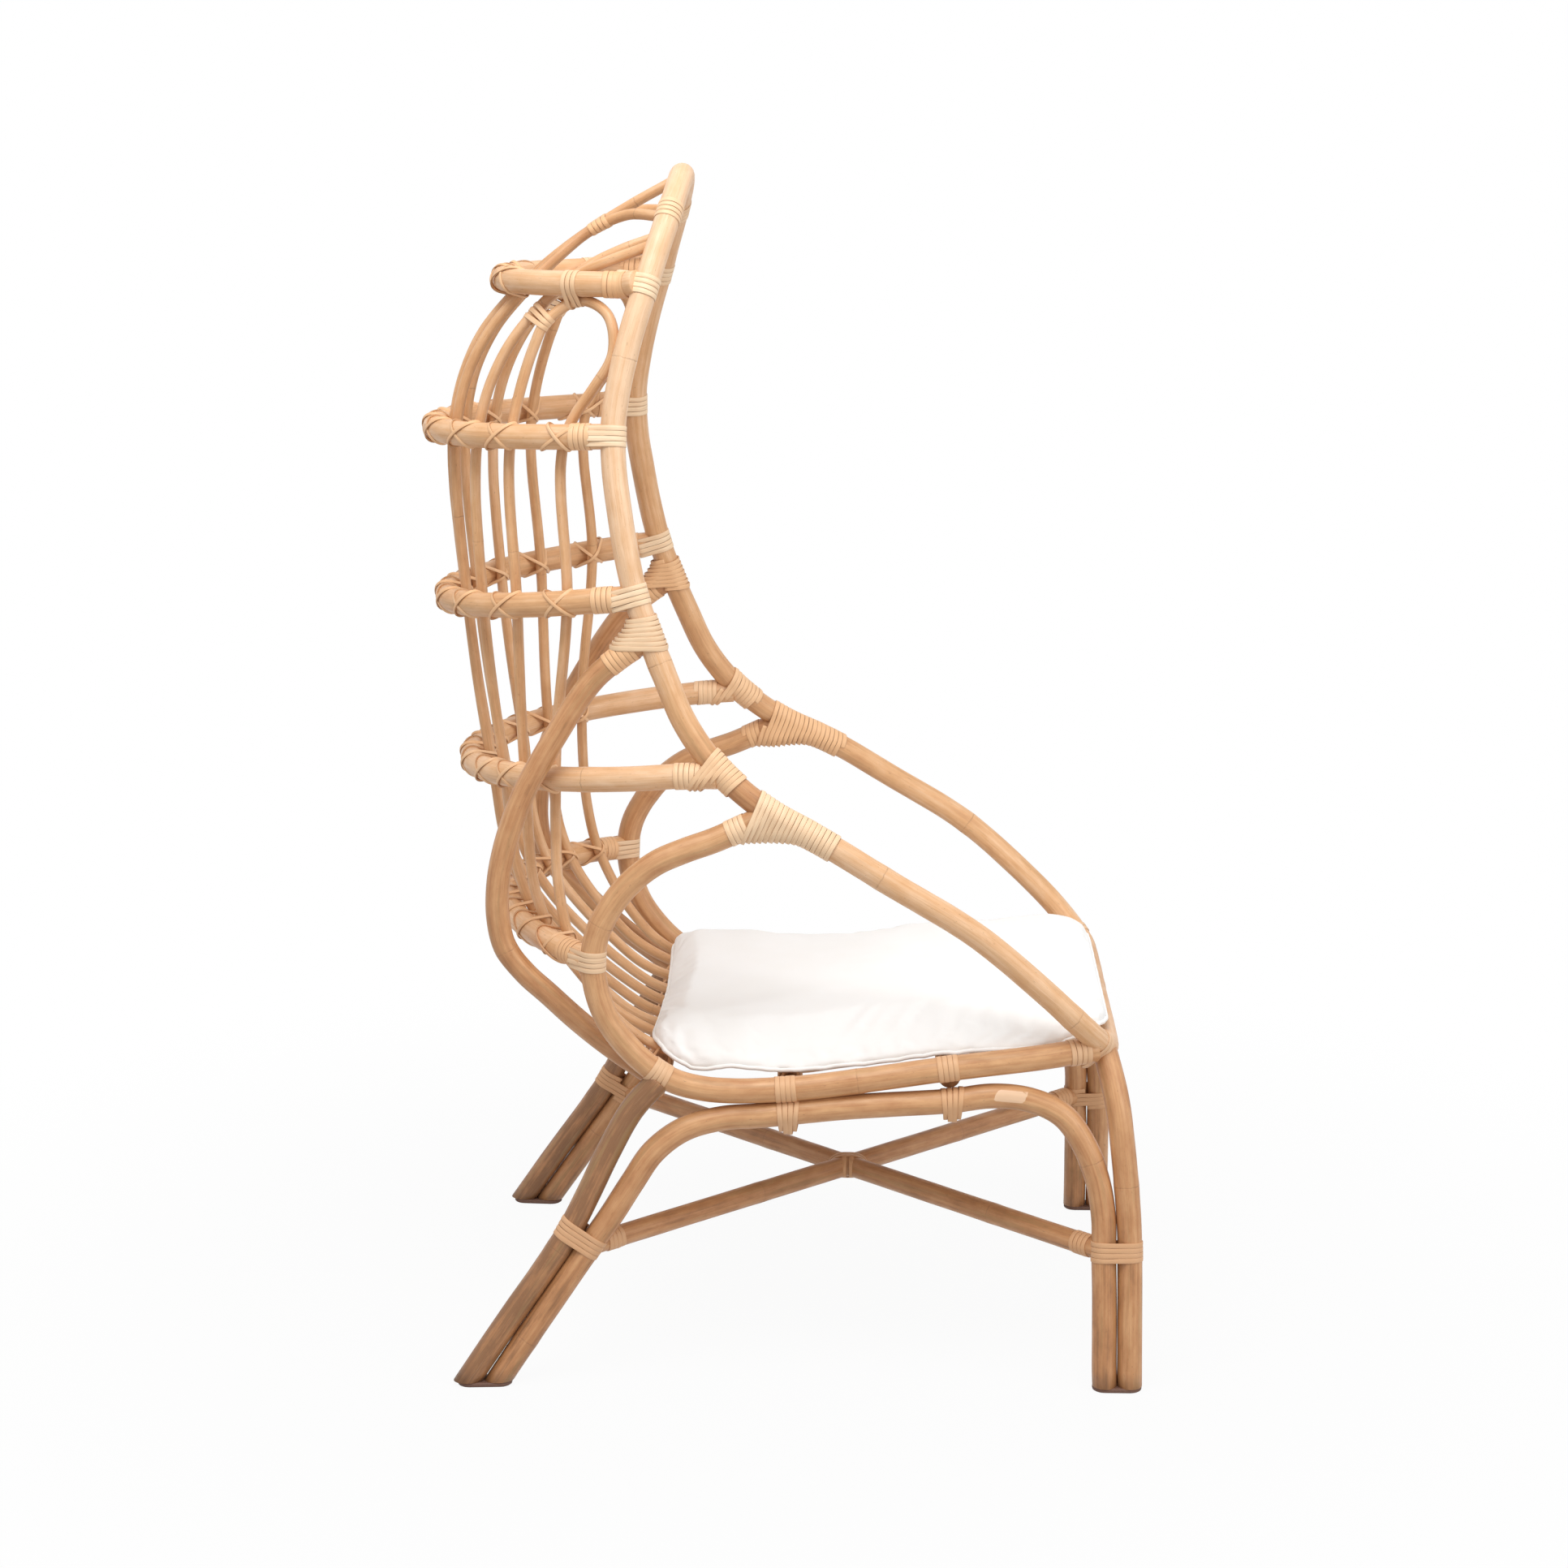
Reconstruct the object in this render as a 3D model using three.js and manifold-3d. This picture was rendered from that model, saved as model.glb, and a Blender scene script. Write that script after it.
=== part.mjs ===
// Rattan peacock chair: bent poles bound with peel, a spindle back on five rings, a loose seat cushion.
// Millimetres, +Z up. The chair faces -Y, x = 0 is its plane of symmetry, and the floor is z = 0.
// "right" is the sitter's right, the -X side.
import * as THREE from 'three';
import { mergeVertices } from 'three/addons/utils/BufferGeometryUtils.js';
import Module from 'manifold-3d';

const wasm = await Module();
wasm.setup();

// Stock
const POLE_D = 30;          // hoop, arms, seat loops, legs and rings
const BRACE_D = 28;         // rear braces
const STRETCHER_D = 26;     // crossed stretchers under the seat
const CROSSBAR_D = 26;      // bars that carry the seat
const SPINDLE_D = 13;       // spindles of the back, which run on as the seat's slats
const PEEL_W = 5.5;         // binding strip, width
const PEEL_T = 1.6;         // binding strip, thickness
const PEEL_SPACE = 1.1;     // between neighbouring turns of a binding
const GAP = 0.3;            // between two pieces that touch

// Frame
const BACK_H = 1427;        // centre of the hoop at its top
const HOOP_FOOT_Z = 716;    // where the hoop starts to flare out into the arms
const SEAT_HALF_W = 272;    // centre of a side rail of the seat
const ARM_HALF_W = 288;     // centre of an arm
const FOOT_HALF_W = 316;    // centre of a foot
const FRONT_Y = -398;       // front rail
const FRONT_Z = 400;
const RAIL_Y = [0, -210];   // straight stretch of the side rails
const RAIL_Z = [361, 390];
const CROSSBAR_Y = [-14, -207];
const REAR_RAIL_Y = 147;
const REAR_RAIL_Z = 365;
const STRETCHER_Z = 170;
const LOOP_JOIN_Y = 8;      // where a seat loop runs into the hoop
const ARM_JOIN_Y = -40;     // where the hoop's foot meets the arm
const BRACE_SET_IN = 34;    // of a rear brace's bow, from the side rails

// Foot pads
const PAD_T = 8;
const PAD_MARGIN = 1;
const FOOT_Z = PAD_T + GAP; // where the legs are sawn off level

// Height at a share of the way from the hoop's foot to its top
const up = (share) => HOOP_FOOT_Z + share * (BACK_H - HOOP_FOOT_Z);

// Back rings: height of the ends, the rear of each ring, and the half-width of the oval that it is part of
const RINGS = [
  { ends: up(0.83), rearY: 339, rearZ: up(0.828), oval: 136 },
  { ends: up(0.586), rearY: 427, rearZ: up(0.575), oval: 178 },
  { ends: up(0.326), rearY: 416, rearZ: up(0.283), oval: 213 },
  { ends: up(0.041), rearY: 389, rearZ: up(-0.003), oval: 253 },
  { ends: 522, rearY: 343, rearZ: 535, oval: SEAT_HALF_W + 88 },
];
const RING_FULLNESS = 2.1;  // 2 is an ellipse in plan, more is squarer

// Spindles: half-spread of the four pairs where they cross each ring, then on the seat
const SPREAD = [
  [46, 96],
  [55, 105, 139, 166],
  [58, 112, 160, 194],
  [60, 116, 158, 194],
  [58, 114, SEAT_HALF_W - 102, SEAT_HALF_W - 46],
];
const SLAT_PITCH = 52;
const SHOULDER = 19;        // how far the spindles bow out between the two upper rings

// Cushion
const CUSHION_T = 36;
const CUSHION_CLEARANCE = 4; // to the side rails
const CUSHION_REAR_Y = 160;
const CUSHION_OVERHANG = 4; // past the centre of the front rail
const CUSHION_CORNER = 48;  // radius of the corners
const CUSHION_DRAW_IN = 4;  // sides pulled in between the corners
const CUSHION_SEAM = 7;     // height of the piped seam over the slats
const CUSHION_DROOP = 12;   // how far the edges hang past the outermost slats
const CUSHION_HALF_W = SEAT_HALF_W - POLE_D / 2 - CUSHION_CLEARANCE;

// Turns of each kind of binding
const RING_TURNS = 3;
const ARM_TURNS = 6;
const BRACE_TURNS = 4;
const LEG_TURNS = 4;
const RAIL_TURNS = 3;
const TURN_STEPS = 8;       // steps in a turn round one pole
const PAIR_STEPS = 10;      // steps in a turn round two poles

const RATTAN = new THREE.MeshStandardMaterial({ color: 0xc8965a, roughness: 0.45, metalness: 0 });
const PEEL = new THREE.MeshStandardMaterial({ color: 0xd9b27c, roughness: 0.5, metalness: 0 });
const CLOTH = new THREE.MeshStandardMaterial({ color: 0xeeece6, roughness: 0.95, metalness: 0 });
const RUBBER = new THREE.MeshStandardMaterial({ color: 0x4a2f22, roughness: 0.7, metalness: 0 });

const chair = new THREE.Group();
const SIDES = [['right', -1], ['left', 1]];
const V = (x, y, z) => new THREE.Vector3(x, y, z);

// Curves

class Stretch extends THREE.Curve {
  // The stretch of a curve between two shares of its length.
  constructor(base, from, to) {
    super();
    Object.assign(this, { base, from, to });
  }
  getPoint(t, target = new THREE.Vector3()) {
    return this.base.getPointAt(THREE.MathUtils.clamp(this.from + (this.to - this.from) * t, 0, 1), target);
  }
}

class Crowded extends THREE.Curve {
  // A curve whose stations crowd towards its middle, where a loop turns.
  constructor(base) {
    super();
    this.base = base;
  }
  getUtoTmapping(u) {
    return u;
  }
  getPoint(t, target = new THREE.Vector3()) {
    const off = 2 * t - 1;
    return this.base.getPointAt(THREE.MathUtils.clamp(0.5 + off * (0.27 + 0.23 * off * off), 0, 1), target);
  }
}

function smooth(points, closed = false) {
  const curve = new THREE.CatmullRomCurve3(points, closed, 'centripetal');
  curve.arcLengthDivisions = 800;
  return curve;
}

const onSide = (points, side) => points.map(([x, y, z]) => V(side * x, y, z));

// Share of a curve's length at which one coordinate takes a value, looked for between two shares.
function shareAt(curve, axis, value, from = 0, to = 1) {
  const rising = curve.getPointAt(to)[axis] > curve.getPointAt(from)[axis];
  for (let i = 0; i < 40; i++) {
    const middle = (from + to) / 2;
    if (curve.getPointAt(middle)[axis] > value === rising) to = middle;
    else from = middle;
  }
  return (from + to) / 2;
}

// Solids

function solid(geometry) {
  const bare = geometry.index ? geometry.clone() : geometry;
  bare.deleteAttribute('normal');
  bare.deleteAttribute('uv');
  const whole = mergeVertices(bare, 1e-3);
  return new wasm.Manifold(new wasm.Mesh({
    numProp: 3,
    vertProperties: new Float32Array(whole.attributes.position.array),
    triVerts: new Uint32Array(whole.index.array),
  }));
}

// The largest closed body of a mesh: what a cope cuts off past a joint is thrown away.
function largestBody({ vertProperties, triVerts }) {
  const parent = Array.from({ length: vertProperties.length / 3 }, (_, i) => i);
  const find = (i) => {
    while (parent[i] !== i) {
      parent[i] = parent[parent[i]];
      i = parent[i];
    }
    return i;
  };
  for (let t = 0; t < triVerts.length; t += 3) {
    parent[find(triVerts[t])] = find(triVerts[t + 1]);
    parent[find(triVerts[t + 1])] = find(triVerts[t + 2]);
  }
  const bodies = new Map();
  for (let t = 0; t < triVerts.length; t += 3) {
    const root = find(triVerts[t]);
    if (!bodies.has(root)) bodies.set(root, []);
    bodies.get(root).push(triVerts[t], triVerts[t + 1], triVerts[t + 2]);
  }
  return [...bodies.values()].sort((a, b) => b.length - a.length)[0];
}

function geometryOf(body) {
  const mesh = body.getMesh();
  const geometry = new THREE.BufferGeometry();
  geometry.setAttribute('position', new THREE.BufferAttribute(new Float32Array(mesh.vertProperties), 3));
  geometry.setIndex(largestBody(mesh));
  geometry.computeVertexNormals();
  return geometry;
}

function add(name, geometry, material) {
  const mesh = new THREE.Mesh(geometry, material);
  mesh.name = name;
  chair.add(mesh);
}

// Poles: each is a curve with a diameter, kept by name so that others can be coped to it.

const poles = {};

function tube(curve, diameter, steps, sides) {
  const ring = Array.from({ length: sides }, (_, i) => {
    const angle = ((i + 0.5) / sides) * 2 * Math.PI;
    return new THREE.Vector2(Math.cos(angle), Math.sin(angle)).multiplyScalar(diameter / 2);
  });
  return new THREE.ExtrudeGeometry(new THREE.Shape(ring), { steps, extrudePath: curve, bevelEnabled: false });
}

function pole(name, curve, diameter, steps, sides = 8) {
  poles[name] = { curve, diameter, steps, sides, stations: curve.getSpacedPoints(steps) };
}

// The axis of a pole's faceted tube: straight between its stations.
function axisPoint({ stations }, share) {
  const at = THREE.MathUtils.clamp(share, 0, 1) * (stations.length - 1);
  const i = Math.min(Math.floor(at), stations.length - 2);
  return stations[i].clone().lerp(stations[i + 1], at - i);
}

function fat(name, extra) {
  const { curve, diameter, steps, sides } = poles[name];
  return solid(tube(curve, diameter + 2 * extra, steps, sides));
}

// Adds a pole, coped to the poles it meets. A cope to a wrapped pole leaves room for the wrapping.
function addPole(name, meets = [], wrapped = [], also = (body) => body) {
  let body = fat(name, 0);
  for (const other of meets) body = body.subtract(fat(other, GAP));
  for (const other of wrapped) body = body.subtract(fat(other, roomForWrap(poles[other])));
  add(name, geometryOf(also(body)), RATTAN);
}

// Radius of the inside of a binding at its corners, so that its flats clear the pole.
const wrapInner = (diameter) => (diameter / 2 + GAP) / Math.cos(Math.PI / TURN_STEPS);
const pairInner = (diameter) => (diameter / 2 + 2 * GAP) / Math.cos(Math.PI / (PAIR_STEPS - 2));

// Height of a binding's outer corners over the pole it goes round, with a gap.
const wrapReach = (diameter) => pairInner(diameter) + PEEL_T + GAP - diameter / 2;
const roomForWrap = ({ diameter, sides }) =>
  (diameter / 2 + wrapReach(diameter)) / Math.cos(Math.PI / sides) - diameter / 2;

// Main loop: hoop, arms and front rail follow one closed curve, from the hoop's top round by the right arm.

const HOOP_HALF = [
  [72, 130, up(0.955)],
  [135, 158, up(0.826)],
  [162, 184, up(0.696)],
  [177, 195, up(0.582)],
  [201, 182, up(0.425)],
  [212, 167, up(0.326)],
  [223, 141, up(0.226)],
  [242, 98, up(0.096)],
  [263, 30, HOOP_FOOT_Z],
  [ARM_HALF_W - 4, -63, 665],
];
const ARM_HALF = [
  [ARM_HALF_W, -137, 620],
  [ARM_HALF_W, -233, 561],
  [ARM_HALF_W - 6, -305, 500],
  [SEAT_HALF_W - 4, FRONT_Y + 34, FRONT_Z + 42],
  [SEAT_HALF_W - 40, FRONT_Y + 4, FRONT_Z + 7],
  [SEAT_HALF_W - 94, FRONT_Y, FRONT_Z],
];
const half = [...HOOP_HALF, ...ARM_HALF];
const mainLoop = smooth(
  [V(0, 122, BACK_H), ...onSide(half, -1), V(0, FRONT_Y, FRONT_Z), ...onSide(half, 1).reverse()], true);
const armJoin = shareAt(mainLoop, 'y', ARM_JOIN_Y, 0.2, 0.4);
const slit = GAP / 2 / mainLoop.getLength();
// The hoop runs over the top, so it is followed from the left joint on past the loop's seam.
class OverSeam extends THREE.Curve {
  getPoint(t, target = new THREE.Vector3()) {
    const share = -armJoin + slit + (2 * armJoin - 2 * slit) * t;
    return mainLoop.getPointAt(share < 0 ? share + 1 : share, target);
  }
}
pole('back_hoop', new OverSeam(), POLE_D, 36);
pole('arm_bow', new Stretch(mainLoop, armJoin + slit, 1 - armJoin - slit), POLE_D, 36);

const hoopAtHeight = (z) => mainLoop.getPointAt(shareAt(mainLoop, 'z', z, 0, armJoin));

// Side frames

const railZ = (y) => THREE.MathUtils.mapLinear(y, RAIL_Y[0], RAIL_Y[1], RAIL_Z[0], RAIL_Z[1]);

for (const [name, side] of SIDES) {
  const top = mainLoop.getPointAt(shareAt(mainLoop, 'y', LOOP_JOIN_Y, 0.2, armJoin));
  const seatLoop = smooth(onSide([
    [-top.x, top.y, top.z],
    [SEAT_HALF_W - 1, 50, 678],
    [SEAT_HALF_W + 2, 159, 629],
    [SEAT_HALF_W + 5, 215, 545],
    [SEAT_HALF_W + 4, 204, 454],
    [SEAT_HALF_W + 1, REAR_RAIL_Y - 3, REAR_RAIL_Z + 18],
    [SEAT_HALF_W, 95, railZ(RAIL_Y[0]) + 2],
    [SEAT_HALF_W, RAIL_Y[0], RAIL_Z[0]],
    [SEAT_HALF_W, RAIL_Y[1], RAIL_Z[1]],
    [SEAT_HALF_W - 8, -330, FRONT_Z + 4],
    [SEAT_HALF_W - 22, FRONT_Y + 12, FRONT_Z + 10],
  ], side));
  pole(`seat_loop_${name}`, seatLoop, POLE_D, 27);

  // Under-seat rail and the inner poles of both legs, in one bent piece
  const stack = POLE_D + GAP;
  const legHoop = smooth(onSide([
    [FOOT_HALF_W, FRONT_Y + 1, FOOT_Z - POLE_D],
    [FOOT_HALF_W - 20, FRONT_Y + 4, 160],
    [FOOT_HALF_W - 31, FRONT_Y + 10, 245],
    [SEAT_HALF_W + 3, FRONT_Y + 52, 333],
    [SEAT_HALF_W, -280, railZ(-280) - stack - 6],
    [SEAT_HALF_W, RAIL_Y[1], RAIL_Z[1] - stack],
    [SEAT_HALF_W, RAIL_Y[0], RAIL_Z[0] - stack],
    [SEAT_HALF_W + 1, 84, railZ(RAIL_Y[0]) - stack - 10],
    [SEAT_HALF_W + 6, 136, 296],
    [FOOT_HALF_W - 28, 199, 206],
    [FOOT_HALF_W + 4, 354, FOOT_Z - POLE_D],
  ], side));
  pole(`leg_hoop_${name}`, legHoop, POLE_D, 27);

  // Outer leg poles lie against the inner ones
  const frontOuter = [0, 0.1, 0.18].map((share) => legHoop.getPointAt(share).add(V(0, -stack, 0)));
  pole(`front_leg_${name}`, smooth([
    ...frontOuter,
    V(side * (SEAT_HALF_W + 4), FRONT_Y - 13, 328),
    V(side * (SEAT_HALF_W - 12), FRONT_Y - 2, FRONT_Z + 6),
  ]), POLE_D, 8);

  const rearOuter = [0.82, 0.9, 1].map((share) => {
    const along = legHoop.getTangentAt(share);
    return legHoop.getPointAt(share).add(V(0, -along.z, along.y).setLength(stack));
  });
  pole(`rear_leg_${name}`, smooth([
    V(side * (SEAT_HALF_W + 1), REAR_RAIL_Y - 10, REAR_RAIL_Z + 14),
    V(side * (SEAT_HALF_W + 4), REAR_RAIL_Y + 30, 330),
    ...rearOuter,
  ]), POLE_D, 8);

  const braceTop = hoopAtHeight(up(0.259));
  const braceX = SEAT_HALF_W - BRACE_SET_IN;
  pole(`rear_brace_${name}`, smooth(onSide([
    [-braceTop.x, braceTop.y, braceTop.z],
    [braceX - 19, 210, up(0.2)],
    [braceX - 10, 272, up(0.073)],
    [braceX - 5, 311, 692],
    [braceX - 1, 334, 600],
    [braceX, 326, 525],
    [braceX, 271, 464],
    [braceX - 2, 205, 405],
    [braceX - 3, REAR_RAIL_Y + 4, REAR_RAIL_Z + 2],
  ], side)), BRACE_D, 17);
}

// Seat bars

const acrossSeat = (y, z, reach) => new THREE.LineCurve3(V(-reach, y, z), V(reach, y, z));
const crossbarZ = (y) => railZ(y) - (POLE_D + GAP) / 2;
pole('rear_seat_rail', acrossSeat(REAR_RAIL_Y, REAR_RAIL_Z, SEAT_HALF_W), POLE_D, 1);
// The crossbars end flat against the bindings that tie each side rail to the leg hoop under it.
const crossbarReach = SEAT_HALF_W - pairInner(POLE_D) - PEEL_T - GAP;
CROSSBAR_Y.forEach((y, i) =>
  pole(`seat_crossbar_${i + 1}`, acrossSeat(y, crossbarZ(y), crossbarReach), CROSSBAR_D, 1));

// Back rings: half a squared ellipse, with its ends on the hoop or, for the lowest ring, on the seat loops.

const ringEnds = RINGS.map(({ ends }, i) => {
  if (i < 4) return hoopAtHeight(ends);
  const loop = poles.seat_loop_right.curve;
  return loop.getPointAt(shareAt(loop, 'z', ends, 0.1, 0.35));
});
const ringPoint = (i, x) => {
  // A point of ring i at half-width x, on the +X side
  const end = ringEnds[i];
  const { rearY, rearZ, oval } = RINGS[i];
  const reach = Math.max(oval, -end.x);
  const bow = (at) => (1 - (Math.min(at, reach) / reach) ** RING_FULLNESS) ** (1 / RING_FULLNESS);
  const share = (bow(x) - bow(-end.x)) / (1 - bow(-end.x));
  return V(x, end.y + (rearY - end.y) * share, end.z + (rearZ - end.z) * share);
};
RINGS.forEach((_, i) => {
  const reach = -ringEnds[i].x;
  const quarter = [0, 0.35, 0.62, 0.8, 0.91, 0.972, 1].map((share) => ringPoint(i, reach * share));
  const left = quarter.slice(1);
  const right = left.map((p) => V(-p.x, p.y, p.z)).reverse();
  pole(`back_ring_${i + 1}`, smooth([...right, quarter[0], ...left]), POLE_D, 18);
});

// Spindles: they lie inside the rings, run over the rear rail and on under the cushion as slats.

const slatRise = (POLE_D + SPINDLE_D) / 2 + GAP;
const barRise = (CROSSBAR_D + SPINDLE_D) / 2 + GAP;
const slat = (x) => [
  V(x, FRONT_Y + 2, FRONT_Z - 3),
  V(x, CROSSBAR_Y[1], crossbarZ(CROSSBAR_Y[1]) + barRise),
  V(x, CROSSBAR_Y[0], crossbarZ(CROSSBAR_Y[0]) + barRise),
  V(x, REAR_RAIL_Y - 30, REAR_RAIL_Z + slatRise - 3),
  V(x * 1.01, REAR_RAIL_Y + 12, REAR_RAIL_Z + slatRise + 3),
];

// Where a spindle at half-width x lies against ring i, on its way from the point below to the one above.
function seatOnRing(i, x, below, above) {
  const at = ringPoint(i, x);
  const alongRing = ringPoint(i, x + 2).sub(ringPoint(i, Math.max(x - 2, -x)));
  if (x === 0) alongRing.set(1, 0, 0);
  const off = alongRing.cross(above.clone().sub(below)).normalize();
  if (off.y > 0) off.negate();
  return at.addScaledVector(off, slatRise);
}

// Seats on the rings from the lowest up to the highest given, for the spindle pair j (0 is the centre).
function climb(j, highest, beyond) {
  const x = (i) => (j === 0 ? 0 : SPREAD[i][j - 1]);
  const rough = [V(x(4), REAR_RAIL_Y + 60, 430)];
  for (let i = 4; i >= highest; i--) rough.push(ringPoint(i, x(i)));
  rough.push(beyond);
  const seats = [];
  for (let i = 4; i >= highest; i--) {
    const k = 5 - i;
    seats.push(seatOnRing(i, x(i), rough[k - 1], rough[k + 1]));
    if (i === 0) seats.splice(-1, 0, shoulder(seats.at(-2), seats.at(-1)));
  }
  return seats;
}

// Halfway between two seats, bowed out square to the line between them.
function shoulder(low, high) {
  const rise = high.clone().sub(low);
  return low.clone().add(high).multiplyScalar(0.5).add(V(0, rise.z, -rise.y).setLength(SHOULDER));
}

const touch = SPINDLE_D + GAP;
const crown = V(0, 223, up(0.918)); // where the middle spindles are gathered, below the top of the hoop
const hoopTop = V(0, 126, BACK_H - 4);
pole('spindle_centre', smooth([...slat(0), ...climb(0, 0, crown), crown, hoopTop]), SPINDLE_D, 29, 6);

for (const [name, side] of SIDES) {
  const turn = (points) => points.map((p) => V(side * p.x, p.y, p.z));
  const hoopSide = (z) => {
    const p = hoopAtHeight(z);
    return V(-p.x, p.y, p.z);
  };

  // Inner pair: gathered with the centre spindle, then out to the hoop
  const inner = hoopSide(up(0.935));
  pole(`spindle_inner_${name}`, smooth(turn([
    ...slat(SLAT_PITCH), ...climb(1, 0, V(touch, crown.y, crown.z)),
    V(touch + 1, crown.y, crown.z), V(34, 178, up(0.942)), inner,
  ])), SPINDLE_D, 29, 6);

  // Middle pair: past the first ring and on to the hoop
  const middle = hoopSide(up(0.896));
  pole(`spindle_middle_${name}`, smooth(turn([
    ...slat(2 * SLAT_PITCH), ...climb(2, 0, V(110, 208, up(0.864))), V(112, 193, up(0.873)), middle,
  ])), SPINDLE_D, 29, 6);

  // Loop pair: up the back, round under the first ring, and down again beside itself
  const apex = ringPoint(0, 111).add(V(-10, -6, -20).setLength(slatRise));
  const rising = climb(3, 1, V(108, 280, up(0.76)));
  const falling = climb(4, 1, V(150, 205, up(0.7))).reverse();
  pole(`spindle_loop_${name}`, new Crowded(smooth(turn([
    ...slat(3 * SLAT_PITCH), ...rising,
    V(108, 281, up(0.76)), V(105, 260, up(0.79)), apex,
    V(133, 206, up(0.789)), V(146, 193, up(0.754)), V(153, 195, up(0.712)),
    ...falling, ...slat(4 * SLAT_PITCH).reverse(),
  ]))), SPINDLE_D, 58, 6);
}

// Stretchers: between the inner legs on a diagonal, halved into each other where they cross.

const shareOnLeg = (curve, rear) => shareAt(curve, 'z', STRETCHER_Z, rear ? 0.6 : 0, rear ? 1 : 0.3);
const legAt = (side, rear) => {
  const { curve } = poles[`leg_hoop_${side}`];
  return curve.getPointAt(shareOnLeg(curve, rear));
};
pole('stretcher_1', new THREE.LineCurve3(legAt('right', true), legAt('left', false)), STRETCHER_D, 1);
pole('stretcher_2', new THREE.LineCurve3(legAt('right', false), legAt('left', true)), STRETCHER_D, 1);
const [rearLeg, frontLeg] = [legAt('right', true), legAt('left', false)];
const crossing = rearLeg.clone().lerp(frontLeg, rearLeg.x / (rearLeg.x - frontLeg.x));

function halving(body, up) {
  // Takes the upper or the lower half away where the other stretcher passes.
  const other = poles[up > 0 ? 'stretcher_2' : 'stretcher_1'].curve;
  const along = other.getTangentAt(0.5);
  const block = new THREE.BoxGeometry(4 * STRETCHER_D, STRETCHER_D + 2 * GAP, STRETCHER_D);
  block.rotateZ(Math.atan2(along.y, along.x));
  block.translate(crossing.x, crossing.y, crossing.z + up * (STRETCHER_D / 2 - GAP / 2));
  return body.subtract(solid(block));
}

// The legs are sawn off level above their pads.
function sawn(body) {
  const below = new THREE.BoxGeometry(4 * FOOT_HALF_W, 4 * FOOT_HALF_W, 4 * POLE_D);
  below.translate(0, 0, FOOT_Z - 2 * POLE_D);
  return body.subtract(solid(below));
}

// Poles of the frame, coped to each other

addPole('back_hoop');
addPole('arm_bow');
const spindles = ['spindle_centre'];
for (const [name] of SIDES) {
  addPole(`seat_loop_${name}`, ['back_hoop', 'arm_bow']);
  addPole(`rear_brace_${name}`, ['back_hoop', `seat_loop_${name}`, 'rear_seat_rail']);
  addPole(`leg_hoop_${name}`, [`seat_loop_${name}`], [], sawn);
  addPole(`front_leg_${name}`, ['arm_bow', `seat_loop_${name}`, `leg_hoop_${name}`], [], sawn);
  addPole(`rear_leg_${name}`, [`seat_loop_${name}`, `leg_hoop_${name}`], [], sawn);
  spindles.push(`spindle_inner_${name}`, `spindle_middle_${name}`, `spindle_loop_${name}`);
}
const seatLoops = ['seat_loop_right', 'seat_loop_left'];
addPole('rear_seat_rail', [...seatLoops, 'rear_leg_right', 'rear_leg_left']);
const legPoles = SIDES.flatMap(([name]) => [`leg_hoop_${name}`, `front_leg_${name}`, `rear_leg_${name}`]);
CROSSBAR_Y.forEach((_, i) => addPole(`seat_crossbar_${i + 1}`));
addPole('stretcher_1', [], legPoles, (body) => halving(body, 1));
addPole('stretcher_2', [], legPoles, (body) => halving(body, -1));
RINGS.forEach((_, i) => addPole(`back_ring_${i + 1}`, i < 4 ? ['back_hoop'] : seatLoops));
const carriers = ['back_hoop', 'arm_bow', 'rear_seat_rail', 'seat_crossbar_1', 'seat_crossbar_2',
  ...RINGS.map((_, i) => `back_ring_${i + 1}`)];
spindles.forEach((name, i) => addPole(name, [...carriers, ...spindles.slice(0, i)]));

// Foot pads: one under the two poles of each leg

const soleOf = (name, from, to) => {
  const { curve } = poles[name];
  return curve.getPointAt(shareAt(curve, 'z', FOOT_Z, from, to));
};

function pad(name, a, b) {
  const radius = POLE_D / 2 + PAD_MARGIN;
  const angle = Math.atan2(b.y - a.y, b.x - a.x);
  const outline = new THREE.Shape();
  outline.absarc(b.x, b.y, radius, angle - Math.PI / 2, angle + Math.PI / 2, false);
  outline.absarc(a.x, a.y, radius, angle + Math.PI / 2, angle + 1.5 * Math.PI, false);
  const plate = { depth: PAD_T, bevelEnabled: false, curveSegments: 5 };
  add(name, new THREE.ExtrudeGeometry(outline, plate), RUBBER);
}
for (const [name] of SIDES) {
  pad(`foot_pad_front_${name}`, soleOf(`leg_hoop_${name}`, 0, 0.3), soleOf(`front_leg_${name}`, 0, 1));
  pad(`foot_pad_rear_${name}`, soleOf(`leg_hoop_${name}`, 0.6, 1), soleOf(`rear_leg_${name}`, 0, 1));
}

// Cushion: a thin pad that follows the slats and rides up on the front rail.

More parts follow.
